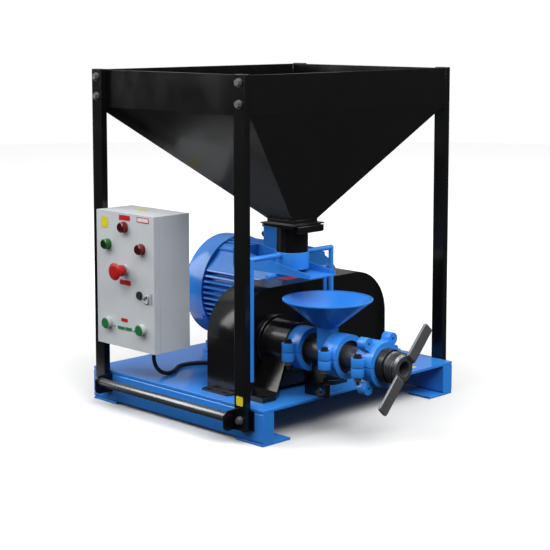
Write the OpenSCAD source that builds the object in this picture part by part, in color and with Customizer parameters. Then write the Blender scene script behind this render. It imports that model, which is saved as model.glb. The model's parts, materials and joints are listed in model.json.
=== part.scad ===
// Feed pellet extruder: base, hopper frame, feed, screw barrel, drive and control cabinet.
// Millimetres, +Z up, front of the machine (die end) towards -Y.

/* [Base frame] */
// Width of the base, left to right
base_w = 770; // [700:5:900]
// Depth of the base, front to back
base_d = 690; // [660:5:800]
// Thickness of the deck plate
deck_t = 8; // [5:0.5:12]
// Height of the base beams
beam_h = 80; // [70:5:120]
// Width of the base beams
beam_w = 40; // [30:5:60]
// Wall of the base beams
beam_wall = 4; // [3:0.5:6]
// Outer corner radius of the base beams
beam_r = 6; // [5:0.5:12]
// Side of a foot plate
foot_w = 100; // [80:5:140]
// Thickness of a foot plate
foot_t = 6; // [4:0.5:12]
// Chamfer on the inner corner of a foot plate
foot_chamfer = 22; // [5:1:40]

/* [Hopper frame] */
// Height of the post tops over the floor
post_top = 944; // [900:2:1000]
// Height of the post ends over the floor
post_bottom = 36; // [20:1:50]
// Post section along the side of the machine
post_w = 40; // [30:2:60]
// Post section across the machine
post_t = 20; // [15:1:30]
// Wall of the posts
post_wall = 2; // [1.5:0.5:4]
// Distance of the post centres from the middle of the base
post_y = 285; // [270:1:300]
// Thickness of the bracket cheeks at the posts
bracket_t = 5; // [3:0.5:8]
// Reach of the bracket cheeks beyond the posts
bracket_reach = 36; // [34:1:50]
// Height of the brackets
bracket_h = 52; // [48:1:60]
// Thickness of the bracket plates behind the posts
back_t = 4; // [3:0.5:6]
// Length of a bracket plate past its post
back_past = 10; // [4:1:20]
// Diameter of the carrying bars
bar_d = 25; // [18:1:28]
// Gap between a carrying bar and the posts' outer faces
bar_gap = 6.5; // [3:0.5:10]
// Height of the carrying bars over the floor
bar_z = 70; // [66:1:74]

/* [Hopper] */
// Height of the vertical rim
rim_h = 106; // [60:2:160]
// Sheet of the hopper
hopper_t = 3; // [2:0.5:5]
// Side of the hopper outlet
outlet_w = 94; // [80:1:100]
// Distance of the outlet from the middle, front to back
outlet_y = -241; // [-250:1:-225]
// Height of the outlet flange over the floor
outlet_z = 543.5; // [520:0.5:570]
// Height of the neck over the flange
neck_h = 10; // [5:1:25]
// Side of the outlet flange
flange_w = 120; // [112:1:140]
// Thickness of the outlet flange
flange_t = 3.5; // [2:0.5:6]

/* [Slide gate] */
// Thickness of the gate slide
gate_t = 3; // [2:0.5:5]
// Running gap round the gate slide
gate_gap = 0.5; // [0.3:0.1:1]
// Width of a gate rail
rail_w = 10; // [6:1:14]
// Thickness of the plate under the gate
gate_plate_t = 3; // [2:0.5:5]
// Height of the bent lip
lip_h = 18; // [12:1:30]
// Width of the bent lip
lip_w = 98; // [80:1:115]
// Gap between the flange and the lip
lip_gap = 6; // [3:0.5:12]

/* [Feed] */
// Outer diameter of the drop tube
tube_d = 84; // [70:1:86]
// Wall of the drop tube
tube_wall = 2.5; // [1.5:0.5:4]
// Height of the drop tube's lower end over the floor
tube_end_z = 440; // [432:1:450]
// Wall of the feed sleeve
sleeve_wall = 3; // [2:0.5:5]
// Height of the feed sleeve
sleeve_h = 45; // [35:1:60]
// Gap between the tray floor and the sleeve
sleeve_lift = 10; // [5:1:25]
// Diameter of the rods
rod_d = 14; // [10:1:16]
// Distance between the legs of the rod frame
rod_span = 303; // [296:1:306]
// Diameter of the rod sockets
socket_d = 19; // [18:0.5:22]
// Height of the rod sockets
socket_h = 35; // [20:1:60]
// Height of the tray floor's underside over the floor
tray_z = 412; // [405:1:425]
// Width of the tray
tray_w = 97; // [97:1:110]
// Rear end of the tray, from the middle of the base
tray_back = -63; // [-90:1:-50]
// Front end of the tray, from the middle of the base
tray_front = -353; // [-365:1:-340]
// Sheet of the tray
tray_t = 2.5; // [1.5:0.5:4]
// Height of the tray's sides at the rear
tray_back_h = 52; // [40:1:70]
// Height of the tray's sides at the front
tray_front_h = 11; // [6:1:25]
// Diameter of the funnel's rim
funnel_d = 237; // [200:1:260]
// Height of the funnel's rim over the floor
funnel_z = 358; // [345:1:370]
// Height of the cone's lower end over the floor
funnel_neck_z = 284; // [275:1:295]
// Outer diameter of the funnel's neck
neck_d = 57; // [50:1:60]
// Sheet of the funnel
funnel_t = 2.5; // [1.5:0.5:4]
// Distance of the funnel in front of the middle
funnel_y = -370; // [-372:1:-364]

/* [Screw barrel] */
// Distance of the screw axis from the middle, left to right
screw_x = -173; // [-180:1:-165]
// Height of the screw axis over the floor
screw_z = 216; // [210:1:225]
// Outer diameter of the barrel
barrel_d = 58; // [54:1:64]
// Bore of the barrel
barrel_bore = 40; // [36:1:44]
// Diameter of the barrel's flanges
coupling_d = 86; // [80:1:90]
// Outer diameter of a clamp
clamp_d = 116; // [110:1:120]
// Length of a clamp along the screw
clamp_w = 46; // [42:1:48]
// Gap between clamp halves
clamp_split = 1.5; // [1:0.5:3]
// Distance of the clamp bolts from the screw axis
ear_x = 70; // [67:1:73]
// Diameter of the clamp's ear bosses
ear_d = 34; // [28:1:36]
// Height of an ear boss on one half
ear_h = 23; // [18:1:28]
// Diameter of the clamp bolt holes
ear_bore = 11; // [9:0.5:12]
// Middle of the first clamp, from the middle of the base
clamp_1_y = -295; // [-297:1:-293]
// Middle of the second clamp
clamp_2_y = -425; // [-430:1:-424]
// Middle of the third clamp
clamp_3_y = -538; // [-545:1:-530]
// Reach of the third clamp's ring in front of its ear band
ring_over = 9; // [4:0.5:14]
// Diameter of the lugs on the third clamp
lug_d = 32; // [24:1:34]
// Length of the lugs on the third clamp
lug_w = 26; // [15:1:30]
// Distance of the lugs behind the ear band's front
lug_set = 6.5; // [0:0.5:10]
// Distance of the lugs to the side of the screw axis
lug_x = 46; // [42:1:50]
// Distance of the lugs above and below the screw axis
lug_z = 57; // [54:1:60]
// Bore of the lugs
lug_bore = 9; // [6:0.5:12]
// Diameter of the screw's flight
screw_d = 38; // [30:1:39]
// Diameter of the screw's core
screw_core_d = 22; // [16:1:26]
// Pitch of the screw's flight
screw_pitch = 34; // [25:1:50]

/* [Die] */
// Length of the die head in front of the third clamp
die_face = 22; // [14:1:30]
// Diameter of the adjuster's shank in the die head
shank_d = 52; // [48:1:56]
// Length of the adjuster's shank
shank_len = 30; // [20:1:36]
// Diameter of the adjuster's threaded ring
nose_d = 76; // [70:1:82]
// Length of the adjuster's threaded ring
nose_len = 38; // [30:1:46]
// Shoulder at the front of the adjuster's ring
nose_edge = 6.5; // [3:0.5:8]
// Gap between the die head and the adjuster's ring
nose_gap = 1; // [0.5:0.5:3]
// Bore of the adjuster
die_bore = 39; // [30:1:42]
// Reach of a handle bar from the screw axis
handle_reach = 130; // [110:1:160]
// Width of a handle bar
handle_w = 34; // [24:1:38]
// Thickness of a handle bar
handle_t = 7; // [5:0.5:10]
// Distance of a handle bar's inner end from the screw axis
handle_root = 25; // [23:0.5:28]
// Turn of the handle bars from level
handle_turn = 47; // [0:1:90]

/* [Bearing stand] */
// Diameter of the bearing housing
housing_d = 126; // [120:1:130]
// Diameter of the housing's rear ring
housing_ring_d = 148; // [140:1:156]
// Length of the housing's rear ring
housing_ring_w = 10; // [6:1:16]
// Thickness of the stand's side plates
stand_t = 10; // [6:1:14]
// Half width of the stand at its feet
stand_half = 89; // [85:1:96]
// Half width of the stand at its upper edge
stand_top_half = 49; // [45:1:55]
// Height of the side plates' upper edge below the screw axis
stand_drop = 13; // [8:1:20]
// Distance of the feet's inner front corners from the screw axis
stand_toe = 115; // [105:1:125]
// Thickness of the stand's feet
stand_foot_t = 13; // [8:1:16]
// Reach of the stand's feet from the screw axis
stand_reach = 162; // [161:1:170]
// Front end of the stand's feet, from the middle of the base
stand_front = -294; // [-300:1:-280]
// Length of the slots in the stand's feet
foot_slot_len = 26; // [18:1:30]
// Width of the slots in the stand's feet
foot_slot_w = 11; // [9:0.5:14]
// Thickness of the barrel support
support_t = 18; // [12:1:24]
// Front end of the barrel support's base, from the middle of the base
support_front = -372; // [-378:1:-366]
// Length of the barrel support's base
support_len = 76; // [66:1:84]
// Height of the barrel support's base
support_h = 36; // [28:1:44]

/* [Belt guard] */
// Height of the guard over the deck
guard_h = 270; // [260:1:280]
// Thickness of the guard along the shafts
guard_w = 109; // [100:1:115]
// Front face of the guard, from the middle of the base
guard_front = -178; // [-182:1:-174]
// Reach of the guard past either shaft
guard_past = 150; // [140:1:160]
// Radius of the guard's upper corners
guard_r = 130; // [90:1:140]
// Width of the guard's foot flanges
guard_flange_w = 27; // [20:1:35]
// Thickness of the guard's foot flanges
guard_flange_t = 4; // [3:0.5:8]

/* [Motor] */
// Distance of the motor axis from the middle, left to right
motor_x = 130; // [125:1:140]
// Gap between the cooling fins and the motor rails
motor_lift = 12; // [8:1:20]
// Diameter over the cooling fins
fin_d = 304; // [290:1:308]
// Height of the cooling fins
fin_h = 21; // [14:1:26]
// Thickness of a cooling fin
fin_t = 5; // [3:0.5:7]
// Pitch of the cooling fins
fin_pitch = 16.5; // [14:0.5:20]
// Front end of the motor frame, from the middle of the base
frame_front = 2; // [-2:1:10]
// Length of the motor frame
frame_len = 280; // [270:1:290]
// Diameter of the end shield
shield_d = 280; // [264:1:290]
// Length of the end shield
shield_len = 26; // [20:1:30]
// Diameter of the motor shaft
shaft_d = 42; // [30:1:48]
// Reach of the fan cowl over the fins
cowl_over = 4.5; // [2:0.5:8]
// Length of the fan cowl
cowl_len = 118; // [100:1:130]
// Length of the cowl's tapered end
cowl_taper = 46; // [30:1:60]
// Diameter of the cowl's rear face
cowl_back_d = 236; // [200:1:260]
// Thickness of the motor rails
rail_t = 10; // [8:1:14]
// Width of a motor foot
motor_foot_w = 58; // [45:1:70]
// Height of a motor foot
motor_foot_h = 20; // [14:1:26]
// Width of the terminal box, left to right
term_w = 100; // [90:1:110]
// Length of the terminal box, front to back
term_l = 90; // [80:1:100]
// Height of the terminal box over the fins
term_h = 62; // [55:1:70]
// Thickness of the terminal box's lid
term_lid_t = 10; // [6:1:14]
// Middle of the terminal box, from the middle of the base
term_y = 84; // [80:1:90]

/* [Control cabinet] */
// Width of the cabinet, along the side of the machine
cab_w = 243; // [235:1:260]
// Height of the cabinet
cab_h = 372; // [360:1:400]
// Depth of the cabinet's box
cab_depth = 104; // [98:1:115]
// Height of the cabinet's underside over the floor
cab_z = 186; // [180:1:192]
// Sheet of the cabinet
cab_t = 2.5; // [1.5:0.5:4]
// Depth of the door
door_t = 20; // [17:1:24]
// Gap between door and box
door_gap = 2; // [1.8:0.1:3]
// Front of the door, out from the posts
cab_proud = 21; // [20:1:26]
// Distance of the outer device columns from the door's middle
device_dy = 72; // [65:1:80]
// Diameter of the lamps and buttons
device_d = 30; // [26:1:32]
// Diameter of the stop button's head
stop_d = 48; // [40:1:52]
// Reach of the stop button's head in front of the door
stop_reach = 42; // [36:1:48]
// Travel of the start buttons
button_travel = 3; // [2:0.5:5]
// Diameter of the hinge knuckles
knuckle_d = 9; // [8:0.5:10]
// Length of a hinge
hinge_len = 60; // [45:1:80]
// Diameter of the hinge pins
hinge_pin_d = 4; // [3:0.5:5]
// Running gap of pins and sleeves
run_gap = 0.05; // [0.02:0.01:0.1]

/* [Cable] */
// Diameter of the cable
cable_d = 11; // [8:0.5:13]
// Diameter of the cable glands
gland_d = 22; // [18:1:26]
// Length of the cable glands
gland_len = 24; // [18:1:30]

/* [Hidden] */
$fn = 64;
cut = 1;

beam_z = foot_t;
deck_z = foot_t + beam_h + deck_t;
half_w = base_w / 2;
half_d = base_d / 2;
frame_half = half_w + back_t;
post_out = frame_half + post_t;
bar_x = post_out + bar_gap + bar_d / 2;
bracket_out = post_out + bracket_reach;

rim_half_y = post_y + post_w / 2;
rim_z = post_top - rim_h;
cone_z = outlet_z + flange_t + neck_h;
gate_z = outlet_z - gate_t - gate_gap;
gate_plate_z = gate_z - gate_gap - gate_plate_t;
gate_w = flange_w - 2 * rail_w - 2 * gate_gap - 12;
lip_y = outlet_y - flange_w / 2 - lip_gap;

sleeve_bore = tube_d + 0.6;
sleeve_d = sleeve_bore + 2 * sleeve_wall;
sleeve_z = tray_z + tray_t + sleeve_lift;
rod_z = sleeve_z + sleeve_h - rod_d / 2;
rod_y = outlet_y;
tray_rod_x = screw_x + rod_span / 2 - 5;
tray_rod_y = rod_y + 17;
tray_rod_d = rod_d - 2;
tray_rod_end = screw_x - tray_w / 2 - 30;

guard_back = guard_front + guard_w;
guard_left = screw_x - guard_past;
guard_right = motor_x + guard_past;
housing_back = guard_front;
housing_front = clamp_1_y + clamp_w / 2;
stand_back = housing_back - housing_ring_w;
stand_foot_z = deck_z + stand_foot_t;
stand_top_z = screw_z - stand_drop;

clamp_bore = coupling_d + 0.4;
die_front = clamp_3_y - clamp_w / 2 - ring_over - die_face;
nose_back = die_front - nose_gap;
nose_front = nose_back - nose_len;
handle_front = nose_front - handle_t;

motor_z = deck_z + rail_t + motor_lift + fin_d / 2;
frame_d = fin_d - 2 * fin_h;
cowl_d = fin_d + 2 * cowl_over;
motor_foot_half = fin_d / 2;
term_top = fin_d / 2 + term_h;
frame_back = frame_front + frame_len;
shield_front = frame_front - shield_len;
cowl_back = frame_back + cowl_len;
foot_z = deck_z + rail_t;

door_front = post_out + cab_proud;
door_back = door_front - door_t;
cab_front = door_back - door_gap;
cab_back = cab_front - cab_depth;
cab_y1 = post_y - post_w / 2;
cab_y0 = cab_y1 - cab_w;
cab_mid = (cab_y0 + cab_y1) / 2;
hinge_y = cab_y1 + 1;
hinge_x = -post_out - knuckle_d / 2 - 1;
hinge_low = cab_z + 70;
hinge_high = cab_z + cab_h - 70;
lamp_top_z = cab_z + cab_h - 38;
lamp_z = cab_z + cab_h - 91;
stop_z = cab_z + cab_h - 156;
lock_z = cab_z + cab_h - 218;
lock_y = cab_mid - 62;
start_z = cab_z + 61;
collar_h = 5;
lens_h = 17;
button_h = 16.5;
start_collar_d = device_d + 1;
start_collar_h = 14;
body_d = device_d - 7;
body_len = 44;
lock_d = 22;
plug_d = 14;

gland_x = -cab_back - 46;
gland_y = cab_mid - 23;
term_z = motor_z + frame_d / 2 - 14;
term_gland_z = motor_z + term_top - 36;

// The machine is centred over the floor by the reach of its outermost pieces
reach_left = door_front + stop_reach;
reach_right = bracket_out;
reach_front = -handle_front;
reach_back = cowl_back;
centre_shift = [(reach_left - reach_right) / 2, (reach_front - reach_back) / 2, 0];

// Route of the cable: down from the cabinet's gland, over the deck, up over the motor's fins to its gland
lie_z = deck_z + cable_d / 2;
drop_z = cab_z - gland_len - 16;
drop_r = drop_z - lie_z;
wrap_gap = 1.8;
wrap_r = fin_d / 2 + cable_d / 2 + wrap_gap;
term_gland_y = term_y + term_l / 2;
turn_r = 46;
wrap_y = term_gland_y + 89;
turn_drop = term_gland_z - motor_z - sqrt(pow(wrap_r, 2) - pow(turn_r, 2));
cable_route = concat(
    [[gland_x, gland_y, cab_z - 2], [gland_x, gland_y, cab_z - gland_len]],
    [for (a = [0:22.5:90]) [gland_x + drop_r * (1 - cos(a)), gland_y - a / 11, drop_z - drop_r * sin(a)]],
    [[-280, 119, lie_z], [-258, 134, lie_z], [-236, 150, lie_z], [-212, 158, lie_z], [-187, 156, lie_z],
     [-163, 145, lie_z], [-142, 128, lie_z], [-124, 106, lie_z], [-110, 81, lie_z], [-98, 54, lie_z],
     [-84, 27, lie_z], [-64, 2, lie_z], [-38, -21, lie_z], [-4, -37, lie_z], [60, -45, lie_z],
     [185, -46, lie_z], [242, -42, lie_z], [284, -26, lie_z], [312, 4, lie_z],
     [322, 44, lie_z], [318, 84, lie_z + 1], [306, 118, lie_z + 14], [297, 142, lie_z + 46], [293, 156, lie_z + 90]],
    [for (a = [95:-20:35]) [motor_x + wrap_r * sin(a), wrap_y - a / 1.9, motor_z + wrap_r * cos(a)]],
    [for (a = [90:-30:0]) [motor_x + turn_r * (1 - cos(a)), term_gland_y + gland_len + 5 + turn_r * sin(a),
                           term_gland_z - turn_drop * (1 - cos(a))]],
    [[motor_x, term_gland_y + 2, term_gland_z]]);
cable_sides = 8;
cable_steps = 2;

machine_blue = [0.05, 0.36, 0.90];
machine_black = [0.06, 0.06, 0.065];
dark_steel = [0.24, 0.25, 0.26];
cabinet_grey = [0.82, 0.83, 0.84];
zinc = [0.70, 0.71, 0.72];
signal_red = [0.75, 0.06, 0.05];
signal_green = [0.05, 0.45, 0.16];

// Moves the machine so that its box is centred over the floor
module in_place() { translate(centre_shift) children(); }

// Box between two corners
module box(low, high) { translate(low) cube(high - low); }

// Extrudes a shape of the front view from its rear face towards the front
module front_view(x, z, y_back, len) {
    translate([x, y_back, z]) rotate([90, 0, 0]) linear_extrude(len) children();
}

// Round bar along the machine's depth
module rod_along_y(x, z, y_back, len, d) { front_view(x, z, y_back, len) circle(d = d); }

// Round bar from left to right
module rod_along_x(x, y, z, len, d) { translate([x, y, z]) rotate([0, 90, 0]) cylinder(h = len, d = d); }

// Round bar standing up
module rod_up(x, y, z, len, d) { translate([x, y, z]) cylinder(h = len, d = d); }

// Rectangle with round corners about the origin
module rounded_rect(w, h, r) {
    square([w - 2 * r, h], center = true);
    square([w, h - 2 * r], center = true);
    for (sx = [-1, 1], sy = [-1, 1])
        translate([sx * (w / 2 - r), sy * (h / 2 - r)]) circle(r);
}

// Slot with round ends, its length along the first axis
module slot(len, w) {
    square([len - w, w], center = true);
    for (s = [-1, 1]) translate([s * (len - w) / 2, 0]) circle(d = w);
}

// Both sides of the machine
module both_sides() {
    children();
    mirror([1, 0, 0]) children();
}

// Hollow rectangular beam along the left side
module side_beam() {
    front_view(-half_w + beam_w / 2, beam_z + beam_h / 2, half_d, base_d)
        difference() {
            rounded_rect(beam_w, beam_h, beam_r);
            rounded_rect(beam_w - 2 * beam_wall, beam_h - 2 * beam_wall, beam_r - beam_wall);
        }
}

module left_beam() { color(machine_blue) side_beam(); }

module right_beam() { color(machine_blue) mirror([1, 0, 0]) side_beam(); }

// Plugs that close the beam ends
module beam_caps() {
    color(machine_blue)
        both_sides()
            for (y = [-half_d + beam_wall, half_d])
                front_view(-half_w + beam_w / 2, beam_z + beam_h / 2, y, beam_wall)
                    rounded_rect(beam_w - 2 * beam_wall, beam_h - 2 * beam_wall, beam_r - beam_wall);
}

module deck_plate() {
    color(machine_blue) box([-half_w, -half_d, deck_z - deck_t], [half_w, half_d, deck_z]);
}

// Square feet under the beam ends, their inner corners cut off
module foot_plates() {
    color(machine_blue)
        both_sides()
            for (s = [-1, 1])
                translate([-half_w, s * half_d, 0])
                    linear_extrude(foot_t)
                        polygon([[0, 0], [foot_w, 0], [foot_w, -s * (foot_w - foot_chamfer)],
                                 [foot_w - foot_chamfer, -s * foot_w], [0, -s * foot_w]]);
}

// Rectangular tube post, closed at the top
module post(side, y) {
    color(machine_black)
        translate([side * (frame_half + post_t / 2), y, 0])
            difference() {
                box([-post_t / 2, -post_w / 2, post_bottom], [post_t / 2, post_w / 2, post_top]);
                box([-post_t / 2 + post_wall, -post_w / 2 + post_wall, post_bottom - cut],
                    [post_t / 2 - post_wall, post_w / 2 - post_wall, post_top - post_wall]);
            }
}

module post_front_left() { post(-1, -post_y); }
module post_rear_left() { post(-1, post_y); }
module post_front_right() { post(1, -post_y); }
module post_rear_right() { post(1, post_y); }

// Outline of a bracket cheek from the beam outwards, its outer corners rounded
module cheek_shape() {
    corner = 16;
    reach = bracket_out - half_w;
    translate([-reach + corner, 0]) square([reach - corner, bracket_h]);
    translate([-reach, corner]) square([corner, bracket_h - 2 * corner]);
    for (z = [corner, bracket_h - corner]) translate([-reach + corner, z]) circle(corner);
}

// Plates between posts and beams, each with a cheek that takes the end of a carrying bar
module post_brackets() {
    inner = post_y - post_w / 2;
    outer = post_y + post_w / 2 + back_past;
    color(machine_black)
        both_sides()
            for (s = [-1, 1]) {
                translate([0, s > 0 ? 0 : -inner - outer, 0])
                    box([-frame_half, inner, post_bottom], [-half_w, outer, post_bottom + bracket_h]);
                front_view(-half_w, post_bottom, s > 0 ? inner : -inner + bracket_t, bracket_t) cheek_shape();
            }
}

// Round bars between the brackets of each long side
module carrying_bars() {
    bar_end = post_y - post_w / 2 - bracket_t;
    color(machine_black)
        both_sides() rod_along_y(-bar_x, bar_z, bar_end, 2 * bar_end, bar_d);
}

module hopper_rim() {
    color(machine_black)
        difference() {
            box([-frame_half, -rim_half_y, rim_z], [frame_half, rim_half_y, post_top - 2]);
            box([-frame_half + hopper_t, -rim_half_y + hopper_t, rim_z - cut],
                [frame_half - hopper_t, rim_half_y - hopper_t, post_top]);
        }
}

// Pyramid between the rim and the off-centre outlet, shrunk and raised by the sheet
module pyramid(inset, lift) {
    slice = 0.01;
    hull() {
        box([-frame_half + inset, -rim_half_y + inset, rim_z + lift - slice],
            [frame_half - inset, rim_half_y - inset, rim_z + lift]);
        translate([screw_x, outlet_y, cone_z + lift])
            linear_extrude(slice) square(outlet_w - 2 * inset, center = true);
    }
}

module hopper_cone() {
    color(machine_black)
        difference() {
            pyramid(0, 0);
            pyramid(hopper_t, hopper_t);
            translate([screw_x, outlet_y, cone_z - cut])
                linear_extrude(hopper_t + 2 * cut) square(outlet_w - 2 * hopper_t, center = true);
        }
}

// Square neck under the pyramid with the outlet flange
module hopper_flange() {
    color(machine_black)
        translate([screw_x, outlet_y, outlet_z])
            difference() {
                union() {
                    linear_extrude(flange_t) square(flange_w, center = true);
                    linear_extrude(flange_t + neck_h) square(outlet_w, center = true);
                }
                translate([0, 0, -cut])
                    linear_extrude(flange_t + neck_h + 2 * cut) square(outlet_w - 2 * hopper_t, center = true);
            }
}

// Rails and lower plate that guide the gate slide
module gate_frame() {
    rail_out = flange_w / 2 - 6;
    color(machine_black)
        translate([screw_x, outlet_y, 0]) {
            for (s = [-1, 1])
                translate([s * (rail_out - rail_w / 2), 0, gate_plate_z])
                    linear_extrude(outlet_z - gate_plate_z) square([rail_w, 2 * rail_out], center = true);
            difference() {
                translate([0, 0, gate_plate_z])
                    linear_extrude(gate_plate_t) square(2 * rail_out - rail_w, center = true);
                rod_up(0, 0, gate_plate_z - cut, gate_plate_t + 2 * cut, tube_d - 2 * tube_wall);
            }
        }
}

// Sliding plate with its bent pull lip
module gate_slide() {
    lip_corner = 6;
    color(machine_black) {
        box([screw_x - gate_w / 2, lip_y, gate_z],
            [screw_x + gate_w / 2, outlet_y + outlet_w / 2, gate_z + gate_t]);
        front_view(screw_x, gate_z + gate_t, lip_y, gate_t)
            difference() {
                translate([0, -lip_h / 2]) square([lip_w, lip_h], center = true);
                for (s = [-1, 1])
                    translate([s * (lip_w / 2 - lip_corner), lip_corner - lip_h])
                        difference() {
                            translate([s * lip_corner / 2 + s * cut, -lip_corner / 2 - cut])
                                square(lip_corner + 2 * cut, center = true);
                            circle(lip_corner);
                        }
            }
    }
}

module drop_tube() {
    color(machine_black)
        difference() {
            rod_up(screw_x, outlet_y, tube_end_z, gate_plate_z - tube_end_z, tube_d);
            rod_up(screw_x, outlet_y, tube_end_z - cut, gate_plate_z - tube_end_z + 2 * cut, tube_d - 2 * tube_wall);
        }
}

module feed_sleeve() {
    color(machine_blue)
        difference() {
            rod_up(screw_x, outlet_y, sleeve_z, sleeve_h, sleeve_d);
            rod_up(screw_x, outlet_y, sleeve_z - cut, sleeve_h + 2 * cut, sleeve_bore);
        }
}

// Inverted U of round rod that carries the sleeve between its legs
module rod_frame() {
    leg_z = stand_foot_z + 6;
    color(machine_blue)
        difference() {
            union() {
                rod_along_x(screw_x - rod_span / 2, rod_y, rod_z, rod_span, rod_d);
                for (s = [-1, 1]) {
                    rod_up(screw_x + s * rod_span / 2, rod_y, leg_z, rod_z - leg_z, rod_d);
                    translate([screw_x + s * rod_span / 2, rod_y, rod_z]) sphere(d = rod_d);
                }
            }
            rod_up(screw_x, outlet_y, sleeve_z - cut, sleeve_h + 2 * cut, sleeve_d);
        }
}

// Tube sockets on the stand's feet that take the rod frame's legs
module rod_sockets() {
    color(machine_black)
        for (s = [-1, 1])
            difference() {
                rod_up(screw_x + s * rod_span / 2, rod_y, stand_foot_z, socket_h, socket_d);
                rod_up(screw_x + s * rod_span / 2, rod_y, stand_foot_z + 6, socket_h, rod_d + 0.4);
            }
}

// Outline of a tray side, tall at the rear
module tray_side() {
    polygon([[tray_front, 0], [tray_back, 0], [tray_back, tray_back_h], [tray_front, tray_front_h]]);
}

// Trough under the drop tube that leads the feed to the funnel
module feed_tray() {
    color(machine_blue)
        translate([screw_x, 0, tray_z]) {
            for (x = [-tray_w / 2, tray_w / 2 - tray_t])
                translate([x, 0, 0]) rotate([90, 0, 90]) linear_extrude(tray_t) tray_side();
            box([-tray_w / 2, tray_front, 0], [tray_w / 2, tray_back, tray_t]);
            box([-tray_w / 2, tray_back - tray_t, 0], [tray_w / 2, tray_back, tray_back_h]);
        }
}

// Bent rod beside the right leg, its upper arm under the tray
module tray_rod() {
    arm_z = tray_z - tray_rod_d / 2;
    color(machine_blue) {
        rod_up(tray_rod_x, tray_rod_y, stand_foot_z, arm_z - stand_foot_z, tray_rod_d);
        translate([tray_rod_x, tray_rod_y, arm_z]) sphere(d = tray_rod_d);
        rod_along_x(tray_rod_end, tray_rod_y, arm_z, tray_rod_x - tray_rod_end, tray_rod_d);
    }
}

// Funnel shell, its neck cut to the barrel
module feed_funnel() {
    neck_r = neck_d / 2;
    rim_r = funnel_d / 2;
    rim_lip = 3;
    color(machine_blue)
        difference() {
            translate([screw_x, funnel_y, 0])
                rotate_extrude()
                    polygon([[neck_r - funnel_t, screw_z], [neck_r, screw_z], [neck_r, funnel_neck_z],
                             [rim_r, funnel_z - rim_lip], [rim_r, funnel_z], [rim_r - funnel_t, funnel_z],
                             [rim_r - funnel_t, funnel_z - rim_lip + funnel_t / 3],
                             [neck_r - funnel_t, funnel_neck_z + funnel_t / 3]]);
            rod_along_y(screw_x, screw_z, funnel_y + neck_d, 2 * neck_d, barrel_d);
        }
}

// Barrel length with a flange at each end that a clamp closes round
module barrel(y_back, y_front) {
    recess = 10;
    flange = clamp_w / 2 - recess;
    difference() {
        union() {
            rod_along_y(screw_x, screw_z, y_back, y_back - y_front, barrel_d);
            rod_along_y(screw_x, screw_z, y_back, flange, coupling_d);
            rod_along_y(screw_x, screw_z, y_front + flange, flange, coupling_d);
        }
        rod_along_y(screw_x, screw_z, y_back + cut, y_back - y_front + 2 * cut, barrel_bore);
    }
}

module feed_barrel() {
    color(dark_steel)
        difference() {
            barrel(clamp_1_y, clamp_2_y);
            rod_up(screw_x, funnel_y, screw_z, barrel_d, neck_d - 2 * funnel_t);
        }
}

module die_barrel() { color(dark_steel) barrel(clamp_2_y, clamp_3_y); }

// Feed screw, seen down the funnel
module screw() {
    len = clamp_1_y - clamp_3_y - 8;
    color(zinc)
        translate([screw_x, clamp_1_y - 4, screw_z])
            rotate([90, 0, 0])
                linear_extrude(len, twist = 360 * len / screw_pitch, slices = 72, segments = 10, $fn = 10)
                    translate([(screw_d - screw_core_d) / 4, 0])
                        circle(d = (screw_d + screw_core_d) / 2, $fn = 10);
}

// Half of a split clamp: half ring and two ear bosses drilled for the bolts
module clamp_half(y, up, over = 0) {
    big = clamp_d;
    difference() {
        union() {
            front_view(screw_x, screw_z, y + clamp_w / 2, clamp_w + over)
                difference() {
                    circle(d = clamp_d);
                    circle(d = clamp_bore);
                    translate([-big, up > 0 ? clamp_split / 2 - 2 * big : -clamp_split / 2])
                        square(2 * big);
                }
            for (s = [-1, 1])
                rod_up(screw_x + s * ear_x, y, screw_z + (up > 0 ? clamp_split / 2 : -clamp_split / 2 - ear_h),
                       ear_h, ear_d);
        }
        for (s = [-1, 1])
            rod_up(screw_x + s * ear_x, y, screw_z - ear_h - 2 * cut, 2 * ear_h + 4 * cut, ear_bore);
    }
}

// Half of the third clamp, with two drilled lugs for a cutter
module lug_clamp_half(up) {
    lug_back = clamp_3_y - clamp_w / 2 + lug_set + lug_w;
    lug_out = norm([lug_x, lug_z]);
    web_w = lug_d * 0.8;
    web_in = clamp_d / 2 - 6;
    difference() {
        union() {
            clamp_half(clamp_3_y, up, ring_over);
            for (s = [-1, 1]) {
                rod_along_y(screw_x + s * lug_x, screw_z + up * lug_z, lug_back, lug_w, lug_d);
                front_view(screw_x, screw_z, lug_back, lug_w)
                    rotate(atan2(up * lug_z, s * lug_x))
                        translate([web_in, -web_w / 2]) square([lug_out - web_in, web_w]);
            }
        }
        for (s = [-1, 1])
            rod_along_y(screw_x + s * lug_x, screw_z + up * lug_z, lug_back + cut, lug_w + 2 * cut, lug_bore);
    }
}

module clamp_1_upper() { color(machine_blue) clamp_half(clamp_1_y, 1); }
module clamp_1_lower() { color(machine_blue) clamp_half(clamp_1_y, -1); }
module clamp_2_upper() { color(machine_blue) clamp_half(clamp_2_y, 1); }
module clamp_2_lower() { color(machine_blue) clamp_half(clamp_2_y, -1); }
module clamp_3_upper() { color(machine_blue) lug_clamp_half(1); }
module clamp_3_lower() { color(machine_blue) lug_clamp_half(-1); }

// Die head held by the third clamp, bored for the adjuster
module die_head() {
    color(dark_steel)
        difference() {
            rod_along_y(screw_x, screw_z, clamp_3_y, clamp_3_y - die_front, coupling_d);
            rod_along_y(screw_x, screw_z, clamp_3_y + cut, clamp_3_y - die_front + 2 * cut, shank_d + 2 * run_gap);
        }
}

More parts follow.
